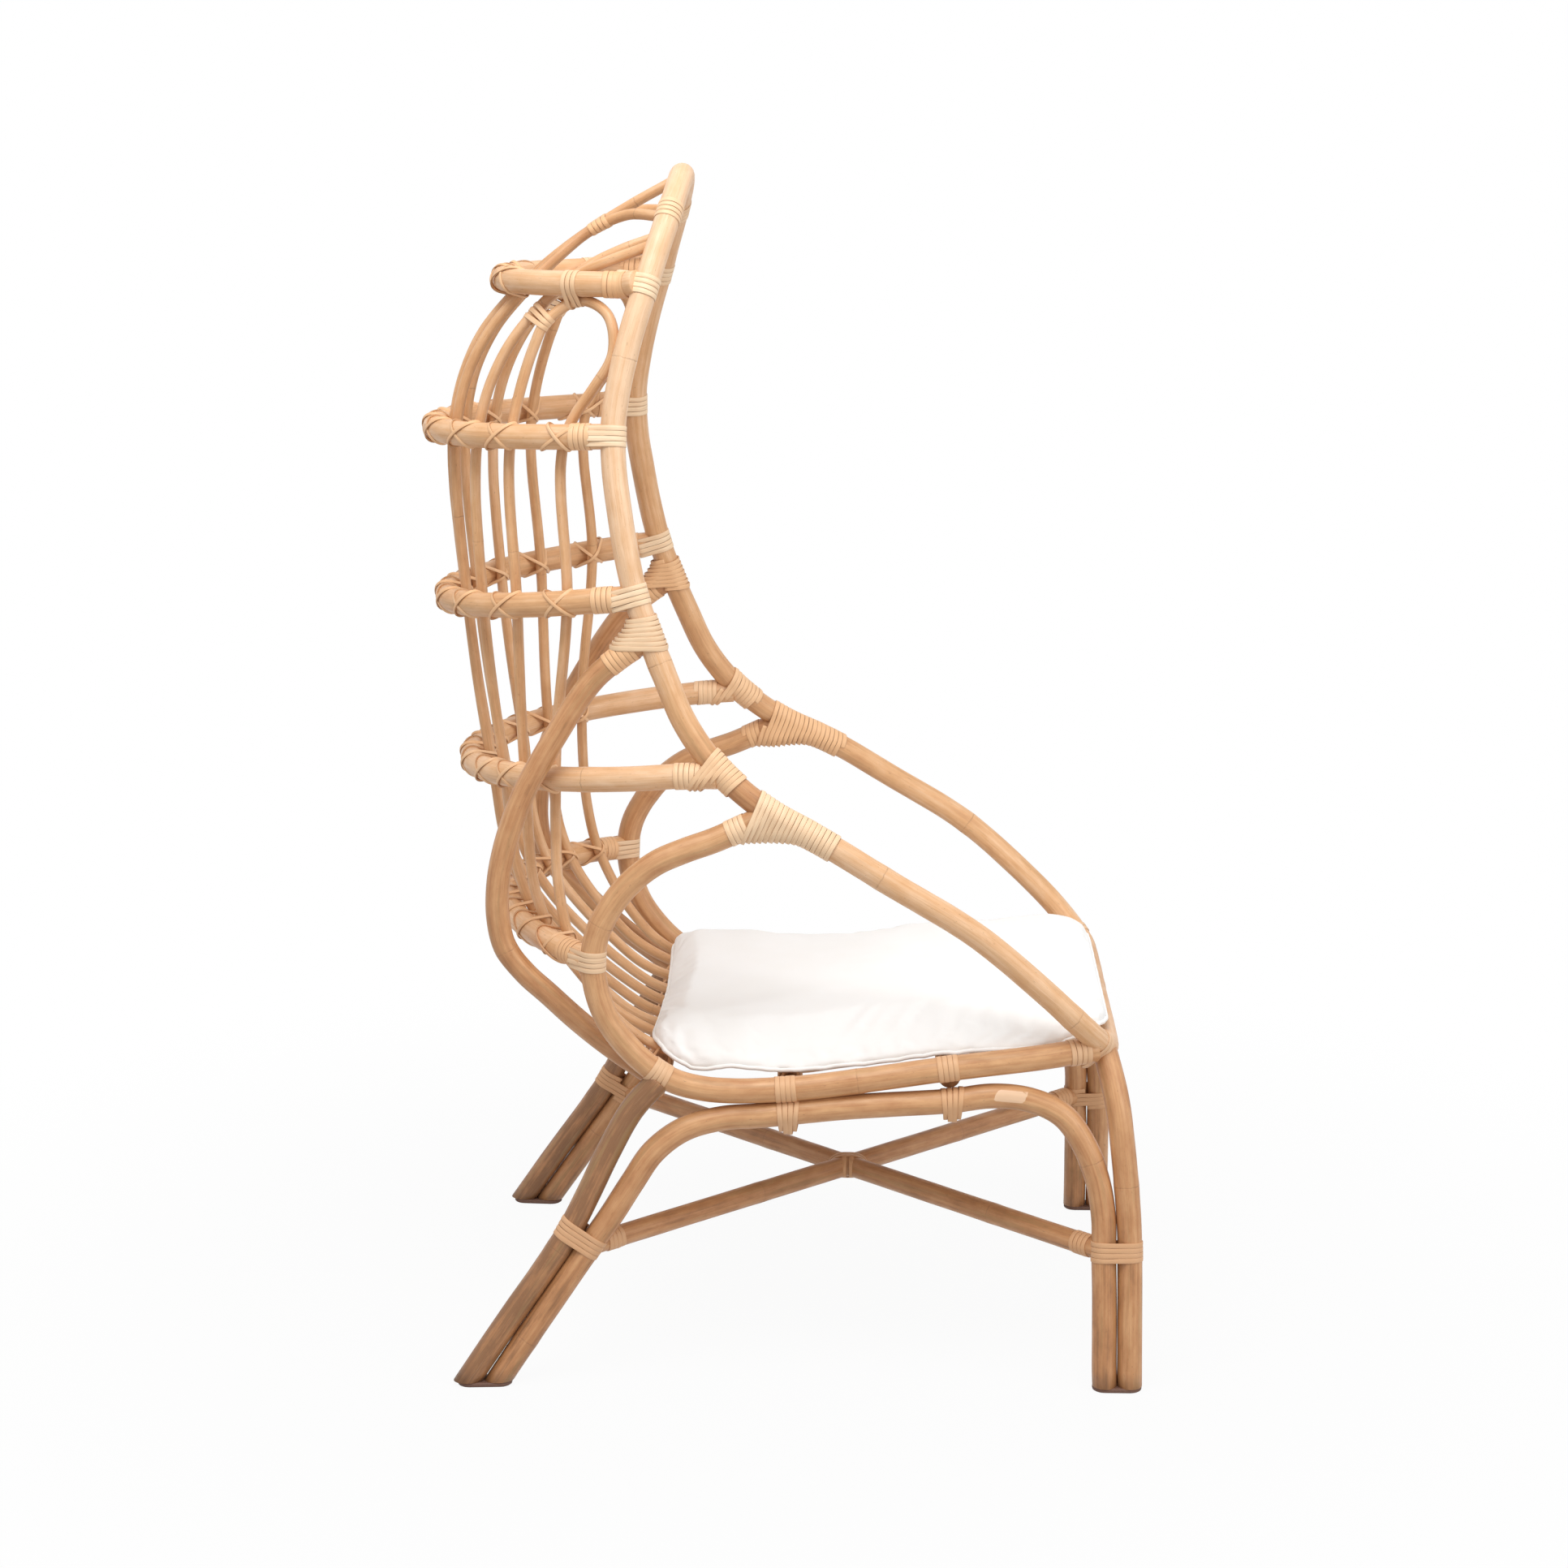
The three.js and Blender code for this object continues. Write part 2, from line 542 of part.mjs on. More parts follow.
function cushion() {
  const deckTop = [];
  for (const name of spindles) {
    for (let i = 0; i <= 600; i++) {
      const p = axisPoint(poles[name], i / 600);
      const onSeat = p.y < REAR_RAIL_Y + 20 && p.z < FRONT_Z + POLE_D;
      if (onSeat) deckTop.push([p.y, p.z + SPINDLE_D / 2 + 2 * GAP]);
    }
  }
  const railTop = FRONT_Z + POLE_D / 2 + 2 * GAP;
  const underside = (y) => {
    // Highest point of the slats close by, and the front rail with a soft rise towards it
    const near = deckTop.filter(([at]) => Math.abs(at - y) < 3 * SPINDLE_D);
    const slats = Math.max(...near.map(([, z]) => z), -Infinity);
    const rise = THREE.MathUtils.smoothstep(-y, -FRONT_Y - 3 * POLE_D, -FRONT_Y - 0.6 * POLE_D);
    const low = slats === -Infinity ? railTop : slats;
    return low + Math.max(0, railTop - low) * rise;
  };
  const frontY = FRONT_Y - CUSHION_OVERHANG;
  const middleY = (frontY + CUSHION_REAR_Y) / 2;
  const halfDepth = (CUSHION_REAR_Y - frontY) / 2;
  // Outline: a rectangle with round corners, narrower at both ends, its sides drawn in
  const rectangle = new THREE.Shape();
  for (let corner = 0; corner < 4; corner++) {
    const cx = (corner % 3 ? -1 : 1) * (CUSHION_HALF_W - CUSHION_CORNER);
    const cy = (corner < 2 ? 1 : -1) * (halfDepth - CUSHION_CORNER);
    rectangle.absarc(cx, cy, CUSHION_CORNER, (corner * Math.PI) / 2, ((corner + 1) * Math.PI) / 2, false);
  }
  const outline = rectangle.closePath().getSpacedPoints(64).slice(0, 64);
  const around = outline.length;
  const shares = [1, 0.975, 0.9, 0.7, 0.4];
  const spot = (k, share) => {
    const { x, y } = outline[k];
    const along = y / halfDepth;
    const drawn = (CUSHION_DRAW_IN * (1 - along * along) * x) / CUSHION_HALF_W;
    const narrowing = along > 0 ? 1 - 0.04 * along ** 4 : 1 - 0.1 * along ** 6;
    return [share * (x * narrowing - drawn), middleY + share * y];
  };
  const seam = CUSHION_SEAM;
  const points = [];
  const index = [];
  const ring = (height, share) => {
    for (let k = 0; k < around; k++) {
      const [x, y] = spot(k, share);
      const past = THREE.MathUtils.smoothstep(Math.abs(x), 4 * SLAT_PITCH + SPINDLE_D, CUSHION_HALF_W);
      points.push(x, y, underside(y) + height - CUSHION_DROOP * past);
    }
  };
  ring(seam, shares[0]);
  const lift = [0, 0.62, 0.84, 0.95, 1];
  for (let i = 1; i < shares.length; i++) ring(seam + (CUSHION_T - seam) * lift[i], shares[i]);
  const topCentre = points.length / 3;
  points.push(0, middleY, underside(middleY) + CUSHION_T + 1);
  const lower = [0, 0.6, 1, 1, 1];
  for (let i = 1; i < shares.length; i++) ring(seam * (1 - lower[i]), shares[i]);
  const bottomCentre = points.length / 3;
  points.push(0, middleY, underside(middleY));
  const join = (a, b, flip) => {
    for (let k = 0; k < around; k++) {
      const n = (k + 1) % around;
      const quad = [a + k, a + n, b + n, a + k, b + n, b + k];
      index.push(...(flip ? quad.reverse() : quad));
    }
  };
  const cap = (a, centre, flip) => {
    for (let k = 0; k < around; k++) {
      const tri = [a + k, a + ((k + 1) % around), centre];
      index.push(...(flip ? tri.reverse() : tri));
    }
  };
  for (let i = 0; i < 4; i++) join(i * around, (i + 1) * around, false);
  cap(4 * around, topCentre, false);
  const start = topCentre + 1;
  join(0, start, true);
  for (let i = 0; i < 3; i++) join(start + i * around, start + (i + 1) * around, true);
  cap(start + 3 * around, bottomCentre, true);
  const geometry = new THREE.BufferGeometry();
  geometry.setAttribute('position', new THREE.Float32BufferAttribute(points, 3));
  geometry.setIndex(index);
  geometry.computeVertexNormals();
  return geometry;
}
add('seat_cushion', cushion(), CLOTH);

// Bindings: a strip of peel wound round one pole, or round two that lie together, as one unbroken helix.

let leastGap = Infinity;

function winding(name, outline, along, turns, steps) {
  // outline(s, k) gives the inner edge point and the outward direction at step k of a turn, s along the pole.
  const points = [];
  const rows = [];
  const count = turns * steps;
  const pitch = PEEL_W + PEEL_SPACE;
  for (let i = 0; i <= count; i++) {
    const { at, out, axis } = outline(along + (i / steps) * pitch, i % steps);
    const corners = [[-1, 0], [1, 0], [1, 1], [-1, 1]].map(([across, outer]) => at.clone()
      .addScaledVector(axis, (across * PEEL_W) / 2).addScaledVector(out, outer * PEEL_T));
    rows.push(corners);
    for (const corner of corners) points.push(corner.x, corner.y, corner.z);
  }
  let own = Infinity;
  for (let i = 0; i + steps < rows.length; i++) {
    const next = rows[i + steps];
    own = Math.min(own, rows[i][1].distanceTo(next[0]), rows[i][2].distanceTo(next[3]));
  }
  leastGap = Math.min(leastGap, own);
  const index = [];
  for (let i = 0; i < count; i++) {
    for (let c = 0; c < 4; c++) {
      const a = 4 * i + c;
      const b = 4 * i + ((c + 1) % 4);
      index.push(a, b, b + 4, a, b + 4, a + 4);
    }
  }
  const last = 4 * count;
  index.push(0, 2, 1, 0, 3, 2, last, last + 1, last + 2, last, last + 2, last + 3);
  const geometry = new THREE.BufferGeometry();
  geometry.setAttribute('position', new THREE.Float32BufferAttribute(points, 3));
  const signed = signedVolume(points, index);
  geometry.setIndex(signed < 0 ? index.reverse() : index);
  geometry.computeVertexNormals();
  add(name, geometry, PEEL);
}

function signedVolume(points, index) {
  const at = (i) => V(points[3 * i], points[3 * i + 1], points[3 * i + 2]);
  let sum = 0;
  for (let t = 0; t < index.length; t += 3) sum += at(index[t]).dot(at(index[t + 1]).cross(at(index[t + 2])));
  return sum;
}

// Round one pole: s in mm from the start of its curve.
function roundOne(one) {
  const { curve, diameter } = one;
  const length = curve.getLength();
  const inner = wrapInner(diameter);
  return (s, k) => {
    const axis = curve.getTangentAt(s / length);
    const across = V(1, 0, 0).cross(axis).lengthSq() > 0.2 ? V(1, 0, 0) : V(0, 0, 1);
    const side = across.cross(axis).normalize();
    const up = axis.clone().cross(side);
    const angle = (k / TURN_STEPS) * 2 * Math.PI;
    const out = side.multiplyScalar(Math.cos(angle)).addScaledVector(up, Math.sin(angle));
    return { at: axisPoint(one, s / length).addScaledVector(out, inner), out, axis };
  };
}

// Round two poles that touch: both circles share a plane square to the first pole.
function roundTwo(first, second) {
  const length = first.curve.getLength();
  const halfSteps = PAIR_STEPS / 2;
  const inner = pairInner(first.diameter);
  return (s, k) => {
    const centre = axisPoint(first, s / length);
    const axis = first.curve.getTangentAt(s / length);
    const mate = crossPlane(second, centre, axis);
    const away = mate.clone().sub(centre).normalize();
    const side = axis.clone().cross(away);
    const onMate = k < halfSteps;
    const angle = Math.PI * ((k % halfSteps) / (halfSteps - 1) - 0.5) + (onMate ? 0 : Math.PI);
    const out = away.multiplyScalar(Math.cos(angle)).addScaledVector(side, Math.sin(angle));
    return { at: (onMate ? mate : centre).addScaledVector(out, inner), out, axis };
  };
}

// Where a pole's axis passes through the plane at a point, close to that point.
function crossPlane(other, point, normal) {
  let share = shareNear(other.curve, point);
  for (let i = 0; i < 8; i++) {
    const miss = axisPoint(other, share).sub(point).dot(normal);
    share -= miss / other.curve.getTangentAt(share).dot(normal) / other.curve.getLength();
    share = THREE.MathUtils.clamp(share, 0, 1);
  }
  return axisPoint(other, share);
}

function shareNear(curve, point) {
  let best = { d: Infinity };
  for (let i = 0; i <= 400; i++) {
    const d = curve.getPointAt(i / 400).distanceToSquared(point);
    if (d < best.d) best = { d, share: i / 400 };
  }
  return best.share;
}

// Length along a pole that its binding starts at, clear of the pole that its end meets.
function clearOf(axis, otherAxis, otherDiameter, ownDiameter) {
  const cosine = Math.abs(axis.dot(otherAxis));
  const sine = Math.sqrt(1 - cosine * cosine);
  const reach = ownDiameter / 2 + wrapReach(ownDiameter);
  return (otherDiameter / 2 + GAP + reach * cosine) / sine + PEEL_W / 2 + GAP;
}

const pitch = PEEL_W + PEEL_SPACE;

const tangentNear = (curve, point) => curve.getTangentAt(shareNear(curve, point));

RINGS.forEach((_, i) => {
  const ring = poles[`back_ring_${i + 1}`];
  const length = ring.curve.getLength();
  for (const [name, side] of SIDES) {
    const end = ring.curve.getPointAt(side < 0 ? 0 : 1);
    const other = poles[i < 4 ? 'back_hoop' : `seat_loop_${name}`];
    const endAxis = ring.curve.getTangentAt(side < 0 ? 0 : 1);
    const start = clearOf(endAxis, tangentNear(other.curve, end), POLE_D, POLE_D);
    const along = side < 0 ? start : length - start - RING_TURNS * pitch;
    winding(`ring_binding_${i + 1}_${name}`, roundOne(ring), along, RING_TURNS, TURN_STEPS);
  }
});

for (const [name, side] of SIDES) {
  const brace = poles[`rear_brace_${name}`];
  const hoopAxis = tangentNear(poles.back_hoop.curve, brace.curve.getPointAt(0));
  const braceStart = clearOf(brace.curve.getTangentAt(0), hoopAxis, POLE_D, BRACE_D);
  winding(`brace_binding_${name}`, roundOne(brace), braceStart, BRACE_TURNS, TURN_STEPS);

  // On the arm, in front of the place where the seat loop runs in
  const bow = poles.arm_bow;
  const start = PEEL_W;
  const along = side < 0 ? start : bow.curve.getLength() - start - ARM_TURNS * pitch;
  winding(`arm_binding_${name}`, roundOne(bow), along, ARM_TURNS, TURN_STEPS);

  // Round the two poles of each leg, at the stretchers
  const hoop = poles[`leg_hoop_${name}`];
  const hoopLength = hoop.curve.getLength();
  for (const rear of [false, true]) {
    const share = shareOnLeg(hoop.curve, rear);
    const outer = poles[`${rear ? 'rear' : 'front'}_leg_${name}`];
    winding(`leg_binding_${rear ? 'rear' : 'front'}_${name}`, roundTwo(hoop, outer),
      share * hoopLength - (LEG_TURNS * pitch) / 2, LEG_TURNS, PAIR_STEPS);
  }

  // Round the side rail and the leg hoop under it, at the seat bars
  CROSSBAR_Y.forEach((y, i) => {
    const share = shareAt(hoop.curve, 'y', y, 0.3, 0.7);
    winding(`rail_binding_${i + 1}_${name}`, roundTwo(hoop, poles[`seat_loop_${name}`]),
      share * hoopLength - (RAIL_TURNS * pitch) / 2, RAIL_TURNS, PAIR_STEPS);
  });
}
console.log(`least gap between turns of a binding: ${leastGap.toFixed(2)} mm`);

// The chair's box is centred on the origin in Y.
const box = new THREE.Box3().setFromObject(chair);
chair.position.y = -(box.min.y + box.max.y) / 2;

export default chair;
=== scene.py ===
"""Looks of the rattan peacock chair: bent poles with grain and cane joints, bindings and lashings of peel,
a piped canvas cushion, foot pads, and a white studio.

Metres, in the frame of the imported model. The chair faces -Y, and "right" is the sitter's right, the -X side,
which is the near side in the photograph. Pixels are those of the photograph, 1932 by 1932.
"""
import heapq
import math

import bmesh
import bpy
import numpy as np
from mathutils import Euler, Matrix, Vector
from mathutils.bvhtree import BVHTree


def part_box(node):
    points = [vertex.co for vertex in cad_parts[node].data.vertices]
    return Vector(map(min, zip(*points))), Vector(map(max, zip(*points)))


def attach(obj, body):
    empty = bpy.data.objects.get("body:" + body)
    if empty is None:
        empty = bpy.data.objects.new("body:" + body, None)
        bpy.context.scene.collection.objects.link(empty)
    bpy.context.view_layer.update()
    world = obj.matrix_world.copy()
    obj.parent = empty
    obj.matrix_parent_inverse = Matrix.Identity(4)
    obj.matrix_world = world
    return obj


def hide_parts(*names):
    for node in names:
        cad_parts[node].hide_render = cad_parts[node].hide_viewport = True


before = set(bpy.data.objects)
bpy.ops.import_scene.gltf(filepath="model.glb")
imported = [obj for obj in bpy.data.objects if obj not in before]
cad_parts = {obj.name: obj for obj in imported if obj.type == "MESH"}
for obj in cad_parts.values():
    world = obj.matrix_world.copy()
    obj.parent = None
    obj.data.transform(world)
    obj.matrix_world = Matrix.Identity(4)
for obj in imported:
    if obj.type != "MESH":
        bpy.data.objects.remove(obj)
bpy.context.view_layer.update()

# Camera
IMAGE = 1932
FOCAL = 4025  # pixels
CAMERA_AT = (-4.0, -0.1158, 1.598)
CAMERA_TURN = (77.0, 0.0, -88.34)
SENSOR = 24.0  # millimetres

# Peel
PITCH = 0.0063  # from one turn of a binding to the next
PEEL_W = 0.0062
PEEL_T = 0.0011
LASH_W = 0.0041  # thin strips that tie the spindles to the rings
LASH_T = 0.0013
CAD_PEEL_W = 0.0055  # width of a turn, and from one to the next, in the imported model
CAD_PITCH = 0.0066
TUCK = 1.6  # how far a strip's ends go under, in thicknesses
GIRDLE_STEP = 0.0012  # between two points of a binding's outline
STRAP_STEP = 0.002
STRAP_REACH = 0.01  # from a post's skin to the turns that hold its straps down
STRAP_TAIL = 0.005  # how far straps run on under those turns
TOUCH = 0.007  # widest gap between two rods that are still lashed
SIDE_BY_SIDE = 0.6  # cosine of the angle under which rods run along each other, and aren't lashed
PALE = (0.0, 0.3)  # tones of fresh peel and of browner peel, from 0 up
TAN = (0.6, 1.0)
BROWN = (0.9, 1.3)
RING_TONES = {1: BROWN, 3: (0.8, 1.2), 4: (0.4, 0.8)}  # at some of the back's rings
PEG_R = 0.008
PEG_DROP = 0.017  # from the leg hoop's centreline down to the peg's
BELLY = ((-3, 0), (-1.1, 0.66), (-0.35, 1), (0.35, 1), (1.1, 0.66), (3, 0))  # turns aside, share of that drop

# Poles
LINE_STEP = 0.003  # between two points of a centreline
TRAIL_STEP = 0.004  # the same in a centreline's first guess
TRAIL_BIN = 0.014  # length of pole whose samples make one point of that guess
KNOT_GAP = 0.006  # least space between two knots of a centreline
HEADING_REACH = 0.005  # to each side of the place where a heading is taken
WELD = 2e-5  # corners of a solid nearer than this are one
RING_STEP = 0.006  # between two rings of a pole's mesh
POLE_SIDES = 22
SPINDLE_SIDES = 14
SPINDLE_R = 0.01  # poles thinner than this are spindles
ODD_WAY = (0.31, 0.52, 0.79)  # a direction that no pole starts along
FIRST_JOINT = (-0.1, 0.3)  # where along a pole its first joint may be
CANE_JOINT = (0.28, 0.52)  # least and most space between two joints of the cane
JOINT_SWELL = (0.025, 0.0, 0.009)  # how much thicker a cane is at a joint, and over what length
CANE_FULL = 1.004  # a cane's usual thickness as a share of its solid's, and how far waves change it
CANE_UNEVEN = 0.008
CANE_WAVES = (0.31, 0.13, 0.07)
TONE_SPREAD = 0.06  # how far a pole's tone may be from its kind's
ACROSS = 0.1  # a pole whose ends are further apart sideways runs across the chair
GRAIN_SHIFT = 9  # pieces show different parts of the grain, up to this far on
BITE = 0.007  # how far a fitted end runs into the pole it meets
END_RIM = 0.0008  # length of the bevel at a fitted end, and the share of the radius that it leaves
END_SHARE = 0.95
END_CLEAR = 0.001  # nearest that another ring of the mesh comes to a fitted end
FOOT_HEIGHT = 0.03  # ends lower than this are feet
FOOT_CUT = 0.013  # length of a leg that its flat cut takes up
FOOT_SINK = 0.0032  # how far a foot goes into its pad's rim
LEG_BEND = 0.09  # length over which a front leg's top leans in, and how far it does
LEG_LEAN = 0.024
HOOP_SAG = (0.0105, -0.215, 0.115)  # how far a leg hoop's rail hangs off the side rail, where, and how widely
HOOP_BEND = (0.22, 0.33)  # heights between which a leg hoop bends from its legs into its rail
SHAVED = (0.037, 0.014)  # length and width of the shaved patch on the near leg hoop
SHAVED_SLANT = 0.4
# A foot pad's section, as inset and height
PAD_RIM = ((0.007, 0.0), (0.0027, 0.0), (0.0016, 0.0008), (0.0012, 0.002), (0.0012, 0.0042), (0.0018, 0.0052),
           (0.003, 0.0056), (0.007, 0.0056))

# How dark each kind of cane is, from 0 to 1, evenly from its right or front end to its other end. Part of it
# is painted shade: the back hoop is darker towards its low ends, most at the near end, and the leg hoops are
# darker towards their feet.
CANE_TONES_AND_SHADE = {
    "back_hoop": (0.85, 0.12, 0.0, 0.06, 0.25, 0.36, 0.5), "arm_bow": (0.24, 0.3, 0.4),
    "back_ring_1": (0.2, 0.3), "back_ring_3": (0.4, 0.42), "back_ring_4": (0.14, 0.3),
    "back_ring": (0.34, 0.36), "spindle": (0.4, 0.4), "rear_brace": (0.62, 0.62), "seat_loop": (0.55, 0.55),
    "leg_hoop": (0.8, 0.56, 0.56, 0.84), "front_leg": (0.74, 0.66), "rear_leg": (1.0, 0.95),
    "stretcher": (0.67, 0.67), "seat_crossbar": (0.8, 0.8), "rear_seat_rail": (0.72, 0.72),
    "rail": (0.7, 0.7),
}

# Cushion
SLAT_EDGE = 0.222  # half the width over the outermost slats
CUSHION_EDGE = 0.25
REAR_SINK = 0.016  # how far the cushion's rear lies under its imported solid, and where that starts
REAR_SINK_Y = (0.045, 0.13)
CORNER_DROOP = 0.011
EDGE_RISE = 0.005  # sides lie on the rails towards the front
EDGE_RISE_X = 0.1
EDGE_RISE_Y = (0.12, 0.32)
SIDE_SAG = 0.005  # sides hang a little between the rails' bindings
SIDE_SAG_AT = (-0.13, 0.06)
REAR_DRAW = 0.011  # rear side pulled in between its corners
REAR_DRAW_Y = (0.09, 0.161)
PAD_MIDDLE = -0.12
PAD_CELL = 0.0055  # cells of the cushion's even mesh
SEAM_STEP = 0.006
SEAM_HOLD = 0.01  # cloth nearer than this to the seam is held there
PRESSURE = 4.0
SHRINK = -0.02  # the cloth is a little too large for the filling
LAST_FRAME = 20
UNDERSIDE = -0.2  # normals that point down more than this belong to the underside
MOST_PUFF = 0.009  # furthest that the cloth moves, and the same for the underside
MOST_PUFF_UNDER = 0.0008
PUCKER = 0.0012
PUCKER_REACH = 0.02
PUCKER_WAVES = (0.017, 0.027, 0.041)
CORNER_X = (0.14, 0.22)  # where puckers deepen towards the corners
CORNER_Y = (0.16, 0.25)
CROWN = 0.006  # how far the hollow across the middle is filled out
CROWN_AT = (0.0, 0.085)
CROWN_EDGE = 0.06
PIPING_R = 0.0027
PIPING_LIFT = 0.0008
PIPING_SIDES = 10

# Studio
FLOOR_HALF = 9
FLOOR_Z = -0.0004
AMBIENT = 0.64  # strength of the white all round, as light on the chair
LIT_POINT = (0, 0, 0.7)

SIDES = (("right", -1), ("left", 1))
UP = np.array([0.0, 0.0, 1.0])


# Centrelines

def unit(v):
    return v / np.linalg.norm(v)


def units(rows):
    """Rows of vectors, each of length 1."""
    return rows / np.linalg.norm(rows, axis=1)[:, None]


def mound(value, top, middle, reach):
    """Bell curve with a given height, middle and half width."""
    return top * np.exp(-((value - middle) / reach) ** 2)


def ease(value, low, high):
    """Smooth step from 0 to 1 as a value goes from low to high."""
    t = np.clip((np.asarray(value) - low) / (high - low), 0, 1)
    return t * t * (3 - 2 * t)


def lengths(line):
    """Distance from a line's start to each of its points."""
    steps = np.linalg.norm(np.diff(line, axis=0), axis=1)
    return np.concatenate([[0.0], np.cumsum(steps)])


def height(point):
    return point[2]


class Rod:
    """A pole's centreline as points a few millimetres apart, and its radius."""

    def __init__(self, points, radius):
        self.points = np.asarray(points, float)
        self.radius = radius
        self.along = lengths(self.points)
        self.length = self.along[-1]

    def at(self, s):
        """The point at s along the line, carried straight on past its ends."""
        inside = np.clip(s, 0, self.length)
        p = np.array([np.interp(inside, self.along, column) for column in self.points.T])
        return p if s == inside else p + (s - inside) * self.heading(inside)

    def heading(self, s):
        low = min(max(s - HEADING_REACH, 0), self.length - 2 * HEADING_REACH)
        return unit(self.at(low + 2 * HEADING_REACH) - self.at(low))

    def nearest(self, point):
        near = np.argmin(np.linalg.norm(self.points - point, axis=1))
        s = self.along[near]
        return s + float((np.asarray(point) - self.points[near]) @ self.heading(s)) * 0.99

    def end_by(self, point):
        """(s of the end that is nearer to a point, +1 or -1 for the way into the pole)."""
        first = np.linalg.norm(self.points[0] - point)
        last = np.linalg.norm(self.points[-1] - point)
        return (0.0, 1) if first < last else (self.length, -1)

    def end(self, score):
        """The end point with the higher score."""
        return max((self.points[0], self.points[-1]), key=score)


def catmull(points, step, closed=False):
    """Smooth line through points, resampled at an even step."""
    p = np.asarray(points, float)
    if closed:
        p = np.vstack([p[-1], p, p[0], p[1]])
    else:
        p = np.vstack([2 * p[0] - p[1], p, 2 * p[-1] - p[-2]])
    line = []
    for a, b, c, d in zip(p, p[1:], p[2:], p[3:]):
        t1 = np.linalg.norm(b - a) ** 0.5
        t2 = t1 + np.linalg.norm(c - b) ** 0.5
        t3 = t2 + np.linalg.norm(d - c) ** 0.5
        for t in np.linspace(t1, t2, 13)[:-1]:
            ab = a + (b - a) * t / t1
            bc = b + (c - b) * (t - t1) / (t2 - t1)
            cd = c + (d - c) * (t - t2) / (t3 - t2)
            abc = ab + (bc - ab) * t / t2
            bcd = bc + (cd - bc) * (t - t1) / (t3 - t1)
            line.append(abc + (bcd - abc) * (t - t1) / (t2 - t1))
    line.append(p[-2])
    line = resample(np.array(line), step)
    return line[:-1] if closed else line


def resample(line, step):
    """The same line with its points an even step apart."""
    along = lengths(line)
    count = max(2, int(round(along[-1] / step)) + 1)
    s = np.linspace(0, along[-1], count)
    return np.stack([np.interp(s, along, column) for column in line.T], axis=1)


def steps_from(solid, start):
    """Shortest way over the edges of a mesh from one corner to every other."""
    far = {start.index: 0.0}
    queue = [(0.0, start.index)]
    while queue:
        done, index = heapq.heappop(queue)
        if done > far[index]:
            continue
        for edge in solid.verts[index].link_edges:
            other = edge.other_vert(solid.verts[index])
            reach = done + edge.calc_length()
            if reach < far.get(other.index, math.inf):
                far[other.index] = reach
                heapq.heappush(queue, (reach, other.index))
    return far


def axis_points(solid, tree):
    """Points on the axis of a pole's solid, midway between opposite flats, and their way from one end."""
    far = steps_from(solid, solid.verts[0])
    end = max(far, key=far.get)
    far = steps_from(solid, solid.verts[end])
    samples = []
    for face in solid.faces:
        corners = face.verts
        for heavy in range(4):
            weights = [1 / 3] * 3 if heavy == 3 else [0.7 if k == heavy else 0.15 for k in range(3)]
            spot = sum((v.co * w for v, w in zip(corners, weights)), Vector((0, 0, 0)))
            through = tree.ray_cast(spot - face.normal * 1e-4, -face.normal)[3]
            if through is not None:
                way = sum(far[v.index] * w for v, w in zip(corners, weights))
                samples.append((way, face.calc_area(), through, *(spot - face.normal * through / 2)))
    samples = np.array(samples)
    order = np.argsort(samples[:, 2])
    weight = np.cumsum(samples[order, 1])
    width = samples[order[np.searchsorted(weight, weight[-1] / 2)], 2]
    samples = samples[np.abs(samples[:, 2] / width - 1) < 0.05]
    return samples[np.argsort(samples[:, 0])]


def ring_centres(corners, trail):
    """Centres of the rings of corners that a pole's solid is built from, in order along it."""
    gaps = np.linalg.norm(corners[:, None, :] - trail[None, :, :], axis=2)
    place = gaps.argmin(axis=1)
    radius = np.median(gaps.min(axis=1))
    on_skin = np.abs(gaps.min(axis=1) - radius) < 0.15 * radius
    order = [i for i in np.argsort(place, kind="stable") if on_skin[i]]
    groups = []
    for i in order:
        if groups and place[i] - place[groups[-1][-1]] <= 1:
            groups[-1].append(i)
        else:
            groups.append([i])
    found = []
    for group in groups:
        centre = corners[group].mean(axis=0)
        spread = np.linalg.norm(corners[group] - centre, axis=1)
        if len(group) in (6, 8) and spread.std() < 0.03 * spread.mean():
            found.append((place[group].mean(), centre, spread.mean()))
    return found


def to_end(tree, point, heading, radius):
    """Carries a line on to the end of its solid."""
    reach = tree.ray_cast(Vector(point), Vector(heading))[3]
    return point + heading * min(reach or 0, 3 * radius)


def settled(trail, samples):
    """A first guess at a centreline, each point drawn to a curve through the samples round it."""
    spots = samples[:, 3:]
    place = np.linalg.norm(spots[:, None, :] - trail[None, :, :], axis=2).argmin(axis=1)
    line = trail.copy()
    for k in range(len(trail)):
        near = np.abs(place - k) <= 6
        if near.sum() > 12 and np.ptp(place[near]) > 5:
            line[k] = np.polyfit(place[near] - k, spots[near], 2)[-1]
    return line


def bent_rod(solid, corners, tree):
    samples = axis_points(solid, tree)
    bins = np.floor(samples[:, 0] / TRAIL_BIN).astype(int)
    trail = np.array([samples[bins == k, 3:].mean(axis=0) for k in np.unique(bins)])
    trail = settled(resample(trail, TRAIL_STEP), samples)
    rings = ring_centres(corners, trail)
    radius = float(np.median([r for _, _, r in rings]))
    usual = np.median(np.diff([place for place, _, _ in rings]))
    first = to_end(tree, trail[2], unit(trail[2] - trail[8]), 2 * radius)
    last = to_end(tree, trail[-3], unit(trail[-3] - trail[-9]), 2 * radius)
    knots = [first]
    before = 0
    for place, centre, _ in [*rings, (len(trail) - 1, last, 0)]:
        if np.linalg.norm(centre - knots[-1]) < KNOT_GAP:
            continue
        missing = int(round((place - before) / usual)) - 1
        for k in range(missing):
            knots.append(trail[int(round(before + (place - before) * (k + 1) / (missing + 1)))])
        knots.append(centre)
        before = place
    return Rod(catmull(knots, LINE_STEP), radius)


